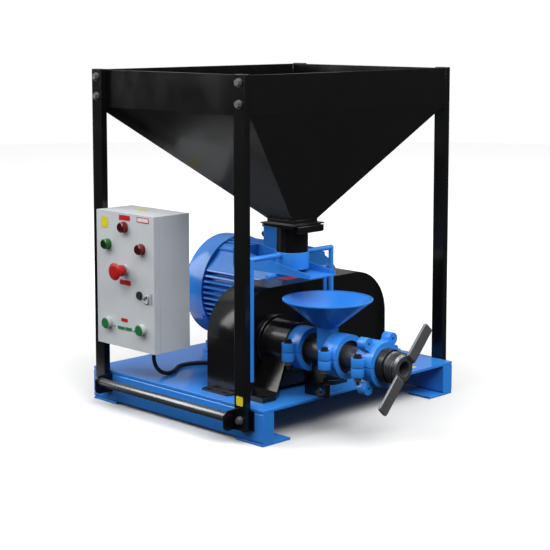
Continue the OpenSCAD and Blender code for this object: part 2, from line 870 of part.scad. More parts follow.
// Adjuster: shank in the die head and a threaded ring in front of it, bored through
module die_adjuster() {
    ring_start = shank_len + nose_gap;
    ring_end = ring_start + nose_len;
    color(dark_steel)
        translate([screw_x, nose_back + ring_start, screw_z])
            rotate([90, 0, 0])
                rotate_extrude()
                    polygon([[die_bore / 2, 0], [shank_d / 2, 0], [shank_d / 2, ring_start],
                             [nose_d / 2, ring_start], [nose_d / 2, ring_end - nose_edge],
                             [nose_d / 2 - nose_edge, ring_end], [die_bore / 2, ring_end]]);
}

// Two flat bars welded to the adjuster's front, bevelled at their inner ends
module die_handle() {
    tip_r = 7;
    color(dark_steel)
        for (turn = [handle_turn, handle_turn + 180])
            difference() {
                front_view(screw_x, screw_z, nose_front, handle_t)
                    rotate(turn)
                        union() {
                            translate([handle_root, -handle_w / 2])
                                square([handle_reach - tip_r - handle_root, handle_w]);
                            translate([handle_reach - tip_r - cut, tip_r - handle_w / 2])
                                square([tip_r + cut, handle_w - 2 * tip_r]);
                            for (s = [-1, 1])
                                translate([handle_reach - tip_r, s * (handle_w / 2 - tip_r)]) circle(tip_r);
                        }
                translate([screw_x, nose_front, screw_z])
                    rotate([0, -turn, 0])
                        translate([handle_root, 0, -handle_w / 2 - cut])
                            linear_extrude(handle_w + 2 * cut)
                                polygon([[0, 0], [handle_t + cut, -handle_t - cut], [-cut, -handle_t - cut], [-cut, 0]]);
            }
}

module bearing_housing() {
    color(machine_black) {
        rod_along_y(screw_x, screw_z, housing_back, housing_back - housing_front, housing_d);
        rod_along_y(screw_x, screw_z, housing_back, housing_ring_w, housing_ring_d);
    }
}

// Inclined side plates, a cross web and slotted feet under the bearing housing
module bearing_stand() {
    web = 12;
    stand_len = stand_back - housing_front;
    foot_mid = (stand_toe + stand_reach) / 2;
    color(machine_black)
        difference() {
            union() {
                for (s = [-1, 1]) {
                    front_view(screw_x, 0, stand_back, stand_len)
                        polygon([[s * (stand_half - stand_t), stand_foot_z], [s * stand_half, stand_foot_z],
                                 [s * stand_top_half, stand_top_z], [s * (stand_top_half - stand_t), stand_top_z]]);
                    translate([screw_x, 0, deck_z])
                        linear_extrude(stand_foot_t)
                            polygon([[s * (stand_half - stand_t), stand_back], [s * stand_reach, stand_back],
                                     [s * stand_reach, stand_front], [s * stand_toe, stand_front],
                                     [s * (stand_half - stand_t), housing_front]]);
                }
                front_view(screw_x, 0, stand_back - stand_len / 2, web)
                    polygon([[-stand_half + stand_t, stand_foot_z], [stand_half - stand_t, stand_foot_z],
                             [stand_top_half - stand_t, stand_top_z], [-stand_top_half + stand_t, stand_top_z]]);
            }
            rod_along_y(screw_x, screw_z, stand_back + cut, stand_len + 2 * cut, housing_d);
            for (s = [-1, 1])
                translate([screw_x + s * foot_mid, stand_front + 16, deck_z - cut])
                    linear_extrude(stand_foot_t + 2 * cut) slot(foot_slot_len, foot_slot_w);
        }
}

// Slotted foot block on the deck's front edge with an upright saddle under the barrel
module barrel_support() {
    upright_w = 44;
    upright_back = clamp_1_y - clamp_w / 2 - 4;
    block_back = support_front + support_len;
    block_top = deck_z + support_h;
    slot_y = support_front + 25;
    color(machine_black)
        difference() {
            union() {
                box([screw_x - support_t / 2, support_front, deck_z], [screw_x + support_t / 2, block_back, block_top]);
                box([screw_x - support_t / 2, upright_back - upright_w, block_top - cut],
                    [screw_x + support_t / 2, upright_back, screw_z]);
            }
            rod_along_y(screw_x, screw_z, upright_back + cut, upright_w + 2 * cut, barrel_d);
            translate([screw_x - support_t / 2 - cut, slot_y, deck_z + support_h / 2])
                rotate([90, 0, 90]) linear_extrude(support_t + 2 * cut) slot(26, 13);
        }
}

// Outline of the guard: straight sides with large round upper corners
module guard_shape() {
    w = guard_right - guard_left;
    square([w, guard_h - guard_r]);
    translate([guard_r, 0]) square([w - 2 * guard_r, guard_h]);
    for (x = [guard_r, w - guard_r]) translate([x, guard_h - guard_r]) circle(guard_r);
}

// Slotted flange at one end of the guard
module guard_flange() {
    corner = 12;
    difference() {
        union() {
            translate([-guard_flange_w, corner]) square([guard_flange_w, guard_w - 2 * corner]);
            translate([-guard_flange_w + corner, 0]) square([guard_flange_w - corner, guard_w]);
            for (y = [corner, guard_w - corner]) translate([-guard_flange_w + corner, y]) circle(corner);
        }
        for (y = [corner + 12, guard_w - corner - 12])
            translate([-guard_flange_w / 2, y]) rotate(90) slot(24, 9);
    }
}

module belt_guard() {
    color(machine_black) {
        front_view(guard_left, deck_z, guard_back, guard_w) guard_shape();
        translate([guard_left, guard_front, deck_z]) linear_extrude(guard_flange_t) guard_flange();
        translate([guard_right, guard_front, deck_z])
            mirror([1, 0, 0]) linear_extrude(guard_flange_t) guard_flange();
    }
}

// Front view of the motor frame: round body with level fins at the sides and upright ones above and below
module frame_shape() {
    fin_rows = 5;
    pad_w = 92;
    circle(d = frame_d);
    intersection() {
        circle(d = fin_d);
        union() {
            for (i = [-fin_rows:fin_rows]) {
                translate([0, i * fin_pitch - fin_t / 2 - fin_pitch])
                    translate([-fin_d / 2, 0]) square([fin_d, fin_t]);
                translate([i * fin_pitch - fin_t / 2, -fin_d / 2]) square([fin_t, fin_d]);
            }
            for (turn = [45, 135]) rotate(turn) translate([0, -pad_w / 2]) square([fin_d / 2 - 8, pad_w]);
        }
    }
}

module motor_frame() {
    color(machine_blue) front_view(motor_x, motor_z, frame_back, frame_len) frame_shape();
}

// Drive end shield with its bearing boss and the shaft that enters the guard
module motor_shield() {
    boss_d = 120;
    boss_len = 10;
    color(machine_blue) {
        rod_along_y(motor_x, motor_z, frame_front, shield_len - boss_len, shield_d);
        rod_along_y(motor_x, motor_z, frame_front, shield_len, boss_d);
        rod_along_y(motor_x, motor_z, frame_front, frame_front - guard_back, shaft_d);
    }
}

// Fan cowl: round sheet hood with a tapered rear end and an air grille of slots
module motor_cowl() {
    wall = 3;
    slot_rows = 5;
    slot_pitch = 22;
    color(machine_blue)
        difference() {
            translate([motor_x, frame_back, motor_z])
                rotate([-90, 0, 0])
                    rotate_extrude()
                        polygon([[0, 0], [cowl_d / 2, 0], [cowl_d / 2, cowl_len - cowl_taper],
                                 [cowl_back_d / 2, cowl_len], [0, cowl_len]]);
            translate([motor_x, frame_back + 40, motor_z])
                rotate([-90, 0, 0])
                    rotate_extrude()
                        polygon([[0, 0], [cowl_d / 2 - wall, 0], [cowl_d / 2 - wall, cowl_len - cowl_taper - 40],
                                 [cowl_back_d / 2 - wall, cowl_len - wall - 40], [0, cowl_len - wall - 40]]);
            for (i = [-slot_rows + 1:slot_rows - 1])
                translate([motor_x, cowl_back + cut, motor_z + i * slot_pitch])
                    rotate([90, 0, 0])
                        linear_extrude(wall + 2 * cut)
                            slot(2 * sqrt(pow(cowl_back_d / 2 - 12, 2) - pow(i * slot_pitch, 2)) - 4, 8);
        }
}

// Feet along both sides of the motor with webs up to its frame
module motor_feet() {
    pad = 80;
    color(machine_blue)
        difference() {
            union()
                for (s = [-1, 1], y = [frame_front + 12, frame_back - 12 - pad]) {
                    translate([motor_x + s * (motor_foot_half - motor_foot_w / 2), y + pad / 2, foot_z])
                        linear_extrude(motor_foot_h) square([motor_foot_w, pad], center = true);
                    for (e = [0, pad - 12])
                        front_view(motor_x, 0, y + e + 12, 12)
                            polygon([[s * (motor_foot_half - motor_foot_w), foot_z],
                                     [s * (motor_foot_half - 12), foot_z + motor_foot_h - cut],
                                     [s * (fin_d / 2 - 30), motor_z - fin_d / 4],
                                     [s * (motor_foot_half - motor_foot_w), motor_z - fin_d / 4]]);
                }
            rod_along_y(motor_x, motor_z, frame_back + cut, frame_len + 2 * cut, fin_d);
        }
}

// Flat rails on the deck on which the motor slides to tension the belts
module motor_rails() {
    rail_d = 56;
    past = 22;
    color(machine_blue)
        for (y = [frame_front + 24, frame_back - 24 - rail_d])
            box([motor_x - motor_foot_half - past, y, deck_z],
                [motor_x + motor_foot_half + past, y + rail_d, deck_z + rail_t]);
}

// Terminal box on the motor with its overlapping lid
module terminal_box() {
    lid_over = 3;
    top = motor_z + term_top;
    color(machine_blue)
        difference() {
            union() {
                translate([motor_x, term_y, term_z])
                    linear_extrude(top - term_lid_t - term_z) rounded_rect(term_w, term_l, 8);
                translate([motor_x, term_y, top - term_lid_t])
                    linear_extrude(term_lid_t) rounded_rect(term_w + 2 * lid_over, term_l + 2 * lid_over, 8);
            }
            front_view(motor_x, motor_z, frame_back, frame_len) frame_shape();
        }
}

// Cabinet shell with a return flange round its opening
module cabinet_box() {
    flange = 14;
    color(cabinet_grey)
        difference() {
            box([-cab_front, cab_y0, cab_z], [-cab_back, cab_y1, cab_z + cab_h]);
            box([-cab_front + cab_t, cab_y0 + cab_t, cab_z + cab_t],
                [-cab_back - cab_t, cab_y1 - cab_t, cab_z + cab_h - cab_t]);
            box([-cab_front - cut, cab_y0 + flange, cab_z + flange],
                [-cab_front + cab_t + cut, cab_y1 - flange, cab_z + cab_h - flange]);
            rod_up(gland_x, gland_y, cab_z - cut, cab_t + 2 * cut, gland_d - 6);
        }
}

// Mounting plate on stand-offs inside the cabinet
module cabinet_panel() {
    margin = 18;
    stand_off = 12;
    plate = 2;
    back = -cab_back - cab_t;
    color(zinc) {
        box([back - stand_off - plate, cab_y0 + margin, cab_z + margin],
            [back - stand_off, cab_y1 - margin, cab_z + cab_h - margin]);
        for (y = [cab_y0 + margin + 14, cab_y1 - margin - 14], z = [cab_z + margin + 14, cab_z + cab_h - margin - 14])
            rod_along_x(back - stand_off, y, z, stand_off, 10);
    }
}

// Fixed hinge parts on the cabinet: outer knuckles, leaf on the return flange and pin
module cabinet_hinges() {
    third = hinge_len / 3;
    leaf_w = 12;
    color(zinc)
        for (z = [hinge_low, hinge_high]) {
            difference() {
                union() {
                    rod_up(hinge_x, hinge_y, z - hinge_len / 2, hinge_len, knuckle_d);
                    box([-door_back + 0.2, cab_y1 - leaf_w, z - hinge_len / 2],
                        [-cab_front, cab_y1 - 0.5, z + hinge_len / 2]);
                    box([hinge_x, cab_y1 - knuckle_d / 2 + 1, z - hinge_len / 2],
                        [-cab_front, cab_y1 - 0.5, z + hinge_len / 2]);
                }
                box([hinge_x - knuckle_d, cab_y1 - leaf_w - cut, z - third / 2 - 0.3],
                    [-door_back + 0.2, hinge_y + knuckle_d, z + third / 2 + 0.3]);
            }
            rod_up(hinge_x, hinge_y, z - hinge_len / 2, hinge_len, hinge_pin_d);
        }
}

// Door: pan with folded edges, its knuckles on the hinge side, cut for the devices
module cabinet_door() {
    third = hinge_len / 3;
    notch = hinge_x - knuckle_d / 2 - 1;
    color(cabinet_grey)
        difference() {
            union() {
                difference() {
                    box([-door_front, cab_y0, cab_z], [-door_back, cab_y1, cab_z + cab_h]);
                    box([-door_front + cab_t, cab_y0 + cab_t, cab_z + cab_t],
                        [-door_back + cut, cab_y1 - cab_t, cab_z + cab_h - cab_t]);
                    for (z = [hinge_low, hinge_high])
                        box([notch, cab_y1 - cab_t - cut, z - hinge_len / 2 - 1],
                            [-door_back + cut, cab_y1 + cut, z + hinge_len / 2 + 1]);
                }
                for (z = [hinge_low, hinge_high]) {
                    rod_up(hinge_x, hinge_y, z - third / 2, third, knuckle_d);
                    box([notch - cab_t, cab_y1 - cab_t, z - third / 2], [hinge_x, cab_y1, z + third / 2]);
                }
            }
            for (z = [hinge_low, hinge_high])
                rod_up(hinge_x, hinge_y, z - third / 2 - cut, third + 2 * cut, hinge_pin_d + 2 * run_gap);
            for (p = device_places())
                rod_along_x(-door_front - cut, p[0], p[1], cab_t + 2 * cut, body_d);
            rod_along_x(-door_front - cut, lock_y, lock_z, cab_t + 2 * cut, plug_d + 4);
        }
}

// Places of the lamps and buttons on the door
function lamp_places() =
    [[cab_mid, lamp_top_z], [cab_mid + device_dy, lamp_z], [cab_mid - device_dy, lamp_z]];
function start_places() = [[cab_mid + device_dy, start_z], [cab_mid - device_dy, start_z]];
function device_places() = concat(lamp_places(), [[cab_mid, stop_z]], start_places());

// Signal lamp: bezel, flat lens and the body behind the door
module lamp(place) {
    translate([-door_front, place[0], place[1]])
        rotate([0, -90, 0])
            rotate_extrude()
                polygon([[0, -body_len], [body_d / 2 - 0.2, -body_len], [body_d / 2 - 0.2, 0],
                         [device_d / 2, 0], [device_d / 2, collar_h], [device_d / 2 - 0.8, collar_h],
                         [device_d / 2 - 0.8, lens_h - 2], [device_d / 2 - 2.8, lens_h], [0, lens_h]]);
}

module red_lamps() {
    color(signal_red)
        for (i = [0, 2]) lamp(lamp_places()[i]);
}

module green_lamp() { color(signal_green) lamp(lamp_places()[1]); }

// Collar and contact body of a button, open in front for the button's head
module button_collar(place, outer, bore, height, floor_h) {
    translate([-door_front, place[0], place[1]])
        rotate([0, -90, 0])
            rotate_extrude()
                polygon([[0, -body_len], [body_d / 2 - 0.2, -body_len], [body_d / 2 - 0.2, 0],
                         [outer / 2, 0], [outer / 2, height], [bore / 2, height], [bore / 2, floor_h],
                         [body_d / 2 - 2, floor_h], [body_d / 2 - 2, -2 * button_travel - 2],
                         [0, -2 * button_travel - 2]]);
}

module button_collars() {
    rim = 1;
    color(zinc) {
        for (p = start_places()) button_collar(p, start_collar_d, start_collar_d - 2 * rim, start_collar_h, 4);
        button_collar([cab_mid, stop_z], device_d, device_d - 4 * rim, collar_h, collar_h - rim);
    }
}

// Mushroom head on its thick neck and stem
module stop_button() {
    stem_d = body_d - 5;
    neck_back = 10;
    color(signal_red)
        translate([-door_front, cab_mid, stop_z])
            rotate([0, -90, 0])
                rotate_extrude()
                    polygon([[0, -button_travel], [stem_d / 2, -button_travel], [stem_d / 2, neck_back],
                             [stop_d / 3 - 1, neck_back], [stop_d / 3, neck_back + 2], [stop_d / 3, stop_reach - 14],
                             [stop_d / 2 - 1.5, stop_reach - 9], [stop_d / 2, stop_reach - 7],
                             [stop_d / 2, stop_reach - 5], [stop_d / 2 - 2, stop_reach - 2.5],
                             [stop_d / 2 - 9, stop_reach - 0.7], [0, stop_reach]]);
}

// Start button: green disc in its collar, on a stem
module start_button(side) {
    stem_d = body_d - 5;
    head_d = start_collar_d - 2.8;
    head_t = 8;
    color(signal_green)
        translate([-door_front, cab_mid + side * device_dy, start_z])
            rotate([0, -90, 0])
                rotate_extrude()
                    polygon([[0, -button_travel], [stem_d / 2, -button_travel], [stem_d / 2, button_h - head_t],
                             [head_d / 2, button_h - head_t], [head_d / 2, button_h - 1],
                             [head_d / 2 - 1, button_h], [0, button_h]]);
}

module start_button_left() { start_button(1); }
module start_button_right() { start_button(-1); }

// Case of the door lock
module lock_case() {
    color(machine_black)
        difference() {
            union() {
                rod_along_x(-door_front - collar_h, lock_y, lock_z, collar_h, lock_d);
                rod_along_x(-door_front, lock_y, lock_z, cab_t + 12, plug_d + 3.6);
            }
            rod_along_x(-door_front - collar_h - cut, lock_y, lock_z, collar_h + 13 + cut, plug_d + 2 * run_gap);
        }
}

// Turning plug of the lock with its key slot
module lock_plug() {
    color(dark_steel)
        difference() {
            rod_along_x(-door_front - collar_h + 1, lock_y, lock_z, collar_h + 11, plug_d);
            box([-door_front - collar_h, lock_y - 1, lock_z - 5], [-door_front - collar_h + 3, lock_y + 1, lock_z + 5]);
        }
}

// Hexagon body and round nut of a cable gland
module gland() {
    difference() {
        union() {
            cylinder(h = gland_len * 0.45, d = gland_d * 1.1, $fn = 6);
            cylinder(h = gland_len, d = gland_d - 3);
        }
        translate([0, 0, -cut]) cylinder(h = gland_len + 2 * cut, d = cable_d + 0.6);
    }
}

// Glands under the cabinet and behind the terminal box
module cable_glands() {
    color(machine_black) {
        translate([gland_x, gland_y, cab_z]) mirror([0, 0, 1]) gland();
        translate([motor_x, term_gland_y, term_gland_z]) rotate([-90, 0, 0]) gland();
    }
}

function unit(v) = v / norm(v);

// Smooth curve through the route's points
function curve_point(p, i, t) =
    let (a = p[max(i - 1, 0)], b = p[i], c = p[i + 1], d = p[min(i + 2, len(p) - 1)])
    0.5 * (2 * b + (c - a) * t + (2 * a - 5 * b + 4 * c - d) * t * t + (3 * b - a - 3 * c + d) * t * t * t);
function smooth(p, steps) = concat(
    [for (i = [0:len(p) - 2], k = [0:steps - 1]) curve_point(p, i, k / steps)], [p[len(p) - 1]]);

// Ring of points round the route
function ring(p, i, r, sides) =
    let (t = unit(p[min(i + 1, len(p) - 1)] - p[max(i - 1, 0)]),
         u = unit(cross(t, [0.31, 0.87, 0.38])), v = cross(t, u))
    [for (k = [0:sides - 1]) p[i] + r * (cos(360 * k / sides) * u + sin(360 * k / sides) * v)];

// Tube swept along a list of points
module swept_tube(p, r, sides) {
    n = len(p);
    points = [for (i = [0:n - 1]) each ring(p, i, r, sides)];
    walls = [for (i = [0:n - 2], k = [0:sides - 1])
        let (a = i * sides + k, b = i * sides + (k + 1) % sides)
        each [[a, b, b + sides], [a, b + sides, a + sides]]];
    ends = [[for (k = [sides - 1:-1:0]) k], [for (k = [0:sides - 1]) (n - 1) * sides + k]];
    polyhedron(points, concat(walls, ends));
}

module cable() { color(machine_black) swept_tube(smooth(cable_route, cable_steps), cable_d / 2, cable_sides); }

in_place() left_beam();
in_place() right_beam();
in_place() beam_caps();
in_place() deck_plate();
in_place() foot_plates();
in_place() post_front_left();
in_place() post_rear_left();
in_place() post_front_right();
in_place() post_rear_right();
in_place() post_brackets();
in_place() carrying_bars();
in_place() hopper_rim();
in_place() hopper_cone();
in_place() hopper_flange();
in_place() gate_frame();
in_place() gate_slide();
in_place() drop_tube();
in_place() feed_sleeve();
in_place() rod_frame();
in_place() rod_sockets();
in_place() feed_tray();
in_place() tray_rod();
in_place() feed_funnel();
in_place() feed_barrel();
in_place() die_barrel();
in_place() screw();
in_place() clamp_1_upper();
in_place() clamp_1_lower();
in_place() clamp_2_upper();
in_place() clamp_2_lower();
in_place() clamp_3_upper();
in_place() clamp_3_lower();
in_place() die_head();
in_place() die_adjuster();
in_place() die_handle();
in_place() bearing_housing();
in_place() bearing_stand();
in_place() barrel_support();
in_place() belt_guard();
in_place() motor_frame();
in_place() motor_shield();
in_place() motor_cowl();
in_place() motor_feet();
in_place() motor_rails();
in_place() terminal_box();
in_place() cabinet_box();
in_place() cabinet_panel();
in_place() cabinet_hinges();
in_place() cabinet_door();
in_place() red_lamps();
in_place() green_lamp();
in_place() button_collars();
in_place() stop_button();
in_place() start_button_left();
in_place() start_button_right();
in_place() lock_case();
in_place() lock_plug();
in_place() cable_glands();
in_place() cable();
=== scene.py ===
"""Feed pellet extruder: finishes, fasteners, threads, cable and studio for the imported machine."""

import json
import math

import bmesh
import bpy
from mathutils import Matrix, Vector


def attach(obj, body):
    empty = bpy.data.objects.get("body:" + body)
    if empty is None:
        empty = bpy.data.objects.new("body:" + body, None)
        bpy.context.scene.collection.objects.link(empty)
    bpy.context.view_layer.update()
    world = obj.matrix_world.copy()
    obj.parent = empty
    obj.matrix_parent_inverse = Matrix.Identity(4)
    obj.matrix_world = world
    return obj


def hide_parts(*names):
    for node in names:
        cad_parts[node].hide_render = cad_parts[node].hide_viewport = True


bl_info = {
    "name": "Feed Pellet Extruder",
    "version": (1, 0, 0),
    "blender": (4, 5, 0),
    "location": "3D View > Sidebar > Extruder",
    "description": "Dresses the feed pellet extruder with enamel, steel, fasteners and cable",
    "category": "Object",
}

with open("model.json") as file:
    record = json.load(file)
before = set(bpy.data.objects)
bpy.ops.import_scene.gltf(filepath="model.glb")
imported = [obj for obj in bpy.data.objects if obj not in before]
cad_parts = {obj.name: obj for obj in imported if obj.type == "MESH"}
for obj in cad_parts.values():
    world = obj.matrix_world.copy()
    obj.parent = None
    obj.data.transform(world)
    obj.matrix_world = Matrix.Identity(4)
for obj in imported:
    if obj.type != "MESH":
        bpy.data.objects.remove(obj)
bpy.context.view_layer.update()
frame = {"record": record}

SLOT_OF = {part["node"]: part["material_slot"] for part in frame["record"]["subparts"]}
BODY_OF = {node: body for body, nodes in frame["record"]["behaviour"]["bodies"].items()
           for node in nodes}

# Middle of the base in the frame's axes, in metres
BASE_MIDDLE = Vector((0.0135, 0.119, 0.0))

# Places in metres, measured from the middle of the base
SCREW_X, SCREW_Z = -0.173, 0.216
DECK_TOP = 0.094
DECK_UNDER = DECK_TOP - 0.008
POST_OUT, POST_Y = 0.409, 0.285
DOOR_FACE = -0.430
DOOR_Y, DOOR_Z = 0.1435, 0.372
MOTOR_X, MOTOR_Z = 0.130, 0.268
CABINET_GLAND = (-0.350, 0.1205, 0.186)
MOTOR_GLAND = (MOTOR_X, 0.129, 0.446)

UP, DOWN = (0, 0, 1), (0, 0, -1)
FRONT, REAR, LEFT = (0, -1, 0), (0, 1, 0), (-1, 0, 0)
SIDES = (-1, 1)

# How far a piece on a face reaches into it
SINK = 0.0001

CLAMP_HALVES = tuple(f"clamp_{k}_{half}" for k in (1, 2, 3) for half in ("upper", "lower"))

# Finishes of nodes that differ from the finish of their slot
OWN_FINISH = {
    "die_handle": "bar_steel", "die_head": "die_black", "die_adjuster": "thread_steel",
    "carrying_bars": "round_bar", "green_lamp": "green_lens", "red_lamps": "red_lens",
    **dict.fromkeys(("motor_frame", "motor_shield", "motor_feet", *CLAMP_HALVES), "cast_blue"),
}

# Nodes whose edges are broken, with the width as a multiple of the edge setting
EDGE_FACTORS = {
    "deck_plate": 1.0, "foot_plates": 1.0, "post_front_left": 1.6, "post_rear_left": 1.6,
    "post_front_right": 1.6, "post_rear_right": 1.6, "post_brackets": 0.8, "carrying_bars": 1.2,
    "hopper_flange": 0.5, "gate_slide": 1.3, "belt_guard": 1.4, "bearing_stand": 1.2,
    "barrel_support": 1.2, "bearing_housing": 1.6, "die_head": 0.9, "die_handle": 1.4,
    "cabinet_box": 0.9, "cabinet_door": 1.0, "terminal_box": 1.4, "motor_cowl": 1.4,
    "motor_rails": 1.0, "motor_feet": 1.4, "motor_shield": 2.4, "rod_sockets": 0.6,
    "feed_sleeve": 0.8, "feed_tray": 0.6, "die_adjuster": 0.7, "hopper_rim": 0.8,
    "gate_frame": 0.5, **dict.fromkeys(CLAMP_HALVES, 1.4),
}

CABLE_D = 0.011
CABLE_LIE = DECK_TOP + CABLE_D / 2
# Cable on the deck: x and y in millimetres
CABLE_LYING = (
    (-280, 119), (-258, 134), (-236, 150), (-212, 158), (-187, 156), (-163, 145), (-142, 128),
    (-124, 106), (-110, 81), (-98, 54), (-84, 27), (-64, 2), (-38, -21), (-4, -37), (60, -45),
    (185, -46), (242, -42), (284, -26), (312, 4), (322, 44),
)
# Cable leaving the deck: x, y and rise in millimetres
CABLE_RISING = ((318, 84, 1), (306, 118, 14), (297, 142, 46), (293, 156, 90))
MM = 1000


def at(x, y, z):
    """Point of the machine, measured from the middle of its base."""
    return Vector((x, y, z)) + BASE_MIDDLE


def finish_of(node):
    """Key of a CAD node's finish."""
    return OWN_FINISH.get(node, SLOT_OF[node])


def cable_route():
    """Points of the cable: down from the cabinet, over the deck, up over the motor's fins."""
    gx, gy, gz = CABINET_GLAND
    end_x, end_y, end_z = MOTOR_GLAND
    inside, straight = 0.002, 0.024
    bend_top = gz - 0.040
    bend = bend_top - CABLE_LIE
    lean = 11000  # degrees of bend to a metre forward
    fin_r, fin_gap = 0.152, 0.0018
    wrap = fin_r + CABLE_D / 2 + fin_gap
    wrap_y, slant = 0.218, 1900  # degrees of wrap to a metre forward
    turn, lead_in = 0.046, 0.029
    dip = end_z - MOTOR_Z - math.sqrt(wrap ** 2 - turn ** 2)

    points = [(gx, gy, gz - inside), (gx, gy, gz - straight)]
    for a in (0, 22.5, 45, 67.5, 90):
        r = math.radians(a)
        points.append((gx + bend * (1 - math.cos(r)), gy - a / lean,
                       bend_top - bend * math.sin(r)))
    points += [(x / MM, y / MM, CABLE_LIE) for x, y in CABLE_LYING]
    points += [(x / MM, y / MM, CABLE_LIE + rise / MM) for x, y, rise in CABLE_RISING]
    for a in (95, 75, 55, 35):
        r = math.radians(a)
        points.append((MOTOR_X + wrap * math.sin(r), wrap_y - a / slant,
                       MOTOR_Z + wrap * math.cos(r)))
    for a in (90, 60, 30, 0):
        r = math.radians(a)
        points.append((end_x + turn * (1 - math.cos(r)), end_y + lead_in + turn * math.sin(r),
                       end_z - dip * (1 - math.cos(r))))
    points.append((end_x, end_y + inside, end_z))
    return [at(*p) for p in points]


def smooth_path(points, steps):
    """Smooth curve through points, with a number of steps between two of them."""
    path = []
    for i in range(len(points) - 1):
        a, b = points[max(i - 1, 0)], points[i]
        c, d = points[i + 1], points[min(i + 2, len(points) - 1)]
        for k in range(steps):
            t = k / steps
            path.append(0.5 * (2 * b + (c - a) * t + (2 * a - 5 * b + 4 * c - d) * t * t
                               + (3 * b - a - 3 * c + d) * t ** 3))
    return path + [points[-1]]


# Settings


class ExtruderColours(bpy.types.PropertyGroup):
    """Colours of the machine's finishes"""

    blue: bpy.props.FloatVectorProperty(
        name="Machine blue", description="Enamel of the base, feed, clamps and motor",
        subtype="COLOR", size=3, min=0.0, max=1.0, default=(0.026, 0.190, 0.610))
    black: bpy.props.FloatVectorProperty(
        name="Frame black", description="Satin enamel of the hopper, posts, guard and stands",
        subtype="COLOR", size=3, min=0.0, max=1.0, default=(0.0030, 0.0031, 0.0034))
    grey: bpy.props.FloatVectorProperty(
        name="Cabinet grey", description="Powder coat of the control cabinet",
        subtype="COLOR", size=3, min=0.0, max=1.0, default=(0.455, 0.48, 0.505))
    steel: bpy.props.FloatVectorProperty(
        name="Dark steel", description="Machined steel of the barrel, die and handle bars",
        subtype="COLOR", size=3, min=0.0, max=1.0, default=(0.150, 0.156, 0.165))


class ExtruderFasteners(bpy.types.PropertyGroup):
    """Sizes of the fasteners, the die's thread and the broken edges"""

    post_bolt: bpy.props.FloatProperty(
        name="Post bolt", description="Width across the corners of the post bolts' heads",
        unit="LENGTH", min=0.008, max=0.03, default=0.0185)
    clamp_bolt: bpy.props.FloatProperty(
        name="Clamp bolt", description="Width across the corners of the clamp bolts' heads",
        unit="LENGTH", min=0.010, max=0.03, default=0.0190)
    small_screw: bpy.props.FloatProperty(
        name="Small screw", description="Width across the heads of lid and cowl screws",
        unit="LENGTH", min=0.004, max=0.02, default=0.0100)
    thread_pitch: bpy.props.FloatProperty(
        name="Die thread pitch", description="Pitch of the thread on the die's turning ring",
        unit="LENGTH", min=0.001, max=0.008, default=0.0052)
    edge: bpy.props.FloatProperty(
        name="Edge rounding", description="Width that breaks the edges of plates and castings",
        unit="LENGTH", min=0.0, max=0.004, default=0.0009)


# Materials

DUST = (0.46, 0.45, 0.44)
ZINC = (0.36, 0.365, 0.37)
WHITE_LIGHT = (1.0, 1.0, 1.0, 1.0)


class Finish:
    """Small builder for one procedural material on object coordinates."""

    # Colour sockets of the Mix node
    MIX_A, MIX_B, MIX_OUT = 6, 7, 2

    def __init__(self, name):
        old = bpy.data.materials.get(name)
        if old:
            bpy.data.materials.remove(old)
        self.mat = bpy.data.materials.new(name)
        self.mat.use_nodes = True
        self.tree = self.mat.node_tree
        self.shader = self.tree.nodes["Principled BSDF"]
        self.coords = self.add("ShaderNodeTexCoord").outputs["Object"]

    def add(self, kind, **options):
        """New node with its options set."""
        node = self.tree.nodes.new(kind)
        for key, value in options.items():
            setattr(node, key, value)
        return node

    def link(self, output, target):
        """Joins an output to an input."""
        self.tree.links.new(output, target)

    def set(self, **values):
        """Sets the shader's own values; an underscore stands for a space."""
        for key, value in values.items():
            self.shader.inputs[key.replace("_", " ")].default_value = value

    def noise(self, scale, detail, rough, stretch=None, distortion=0.0):
        """Noise on object coordinates, which a stretch scales along the axes."""
        node = self.add("ShaderNodeTexNoise")
        node.inputs["Scale"].default_value = scale
        node.inputs["Detail"].default_value = detail
        node.inputs["Roughness"].default_value = rough
        node.inputs["Distortion"].default_value = distortion
        source = self.coords
        if stretch:
            mapping = self.add("ShaderNodeMapping")
            mapping.inputs["Scale"].default_value = stretch
            self.link(source, mapping.inputs["Vector"])
            source = mapping.outputs["Vector"]
        self.link(source, node.inputs["Vector"])
        return node.outputs["Fac"]

    def ramp(self, factor, span, to=(0.0, 1.0)):
        """Takes one span of values to another."""
        node = self.add("ShaderNodeMapRange")
        for key, value in zip(("From Min", "From Max", "To Min", "To Max"), (*span, *to)):
            node.inputs[key].default_value = value
        self.link(factor, node.inputs["Value"])
        return node.outputs["Result"]

    def patches(self, scale, detail, rough, span, to=(0.0, 1.0)):
        """Noise with a span of its values taken to another."""
        return self.ramp(self.noise(scale, detail, rough), span, to)

    def mix(self, factor, a, b):
        """Mixes two colours, each a socket or three numbers."""
        node = self.add("ShaderNodeMix", data_type="RGBA")
        self.link(factor, node.inputs[0])
        for index, value in ((self.MIX_A, a), (self.MIX_B, b)):
            if isinstance(value, bpy.types.NodeSocket):
                self.link(value, node.inputs[index])
            else:
                node.inputs[index].default_value = (*value, 1.0)
        return node.outputs[self.MIX_OUT]

    def colour(self, socket):
        """Gives the shader its colour."""
        self.link(socket, self.shader.inputs["Base Color"])

    def roughness(self, socket):
        """Gives the shader its roughness."""
        self.link(socket, self.shader.inputs["Roughness"])

    def bump(self, height, strength, distance, chain=None):
        """Bump on the shader, on top of another where a chain is given."""
        node = self.add("ShaderNodeBump")
        node.inputs["Strength"].default_value = strength
        node.inputs["Distance"].default_value = distance
        self.link(height, node.inputs["Height"])
        if chain:
            self.link(chain, node.inputs["Normal"])
        self.link(node.outputs["Normal"], self.shader.inputs["Normal"])
        return node.outputs["Normal"]


def shade(colour, factor):
    """Colour made darker or lighter by a factor."""
    return tuple(min(1.0, c * factor) for c in colour)


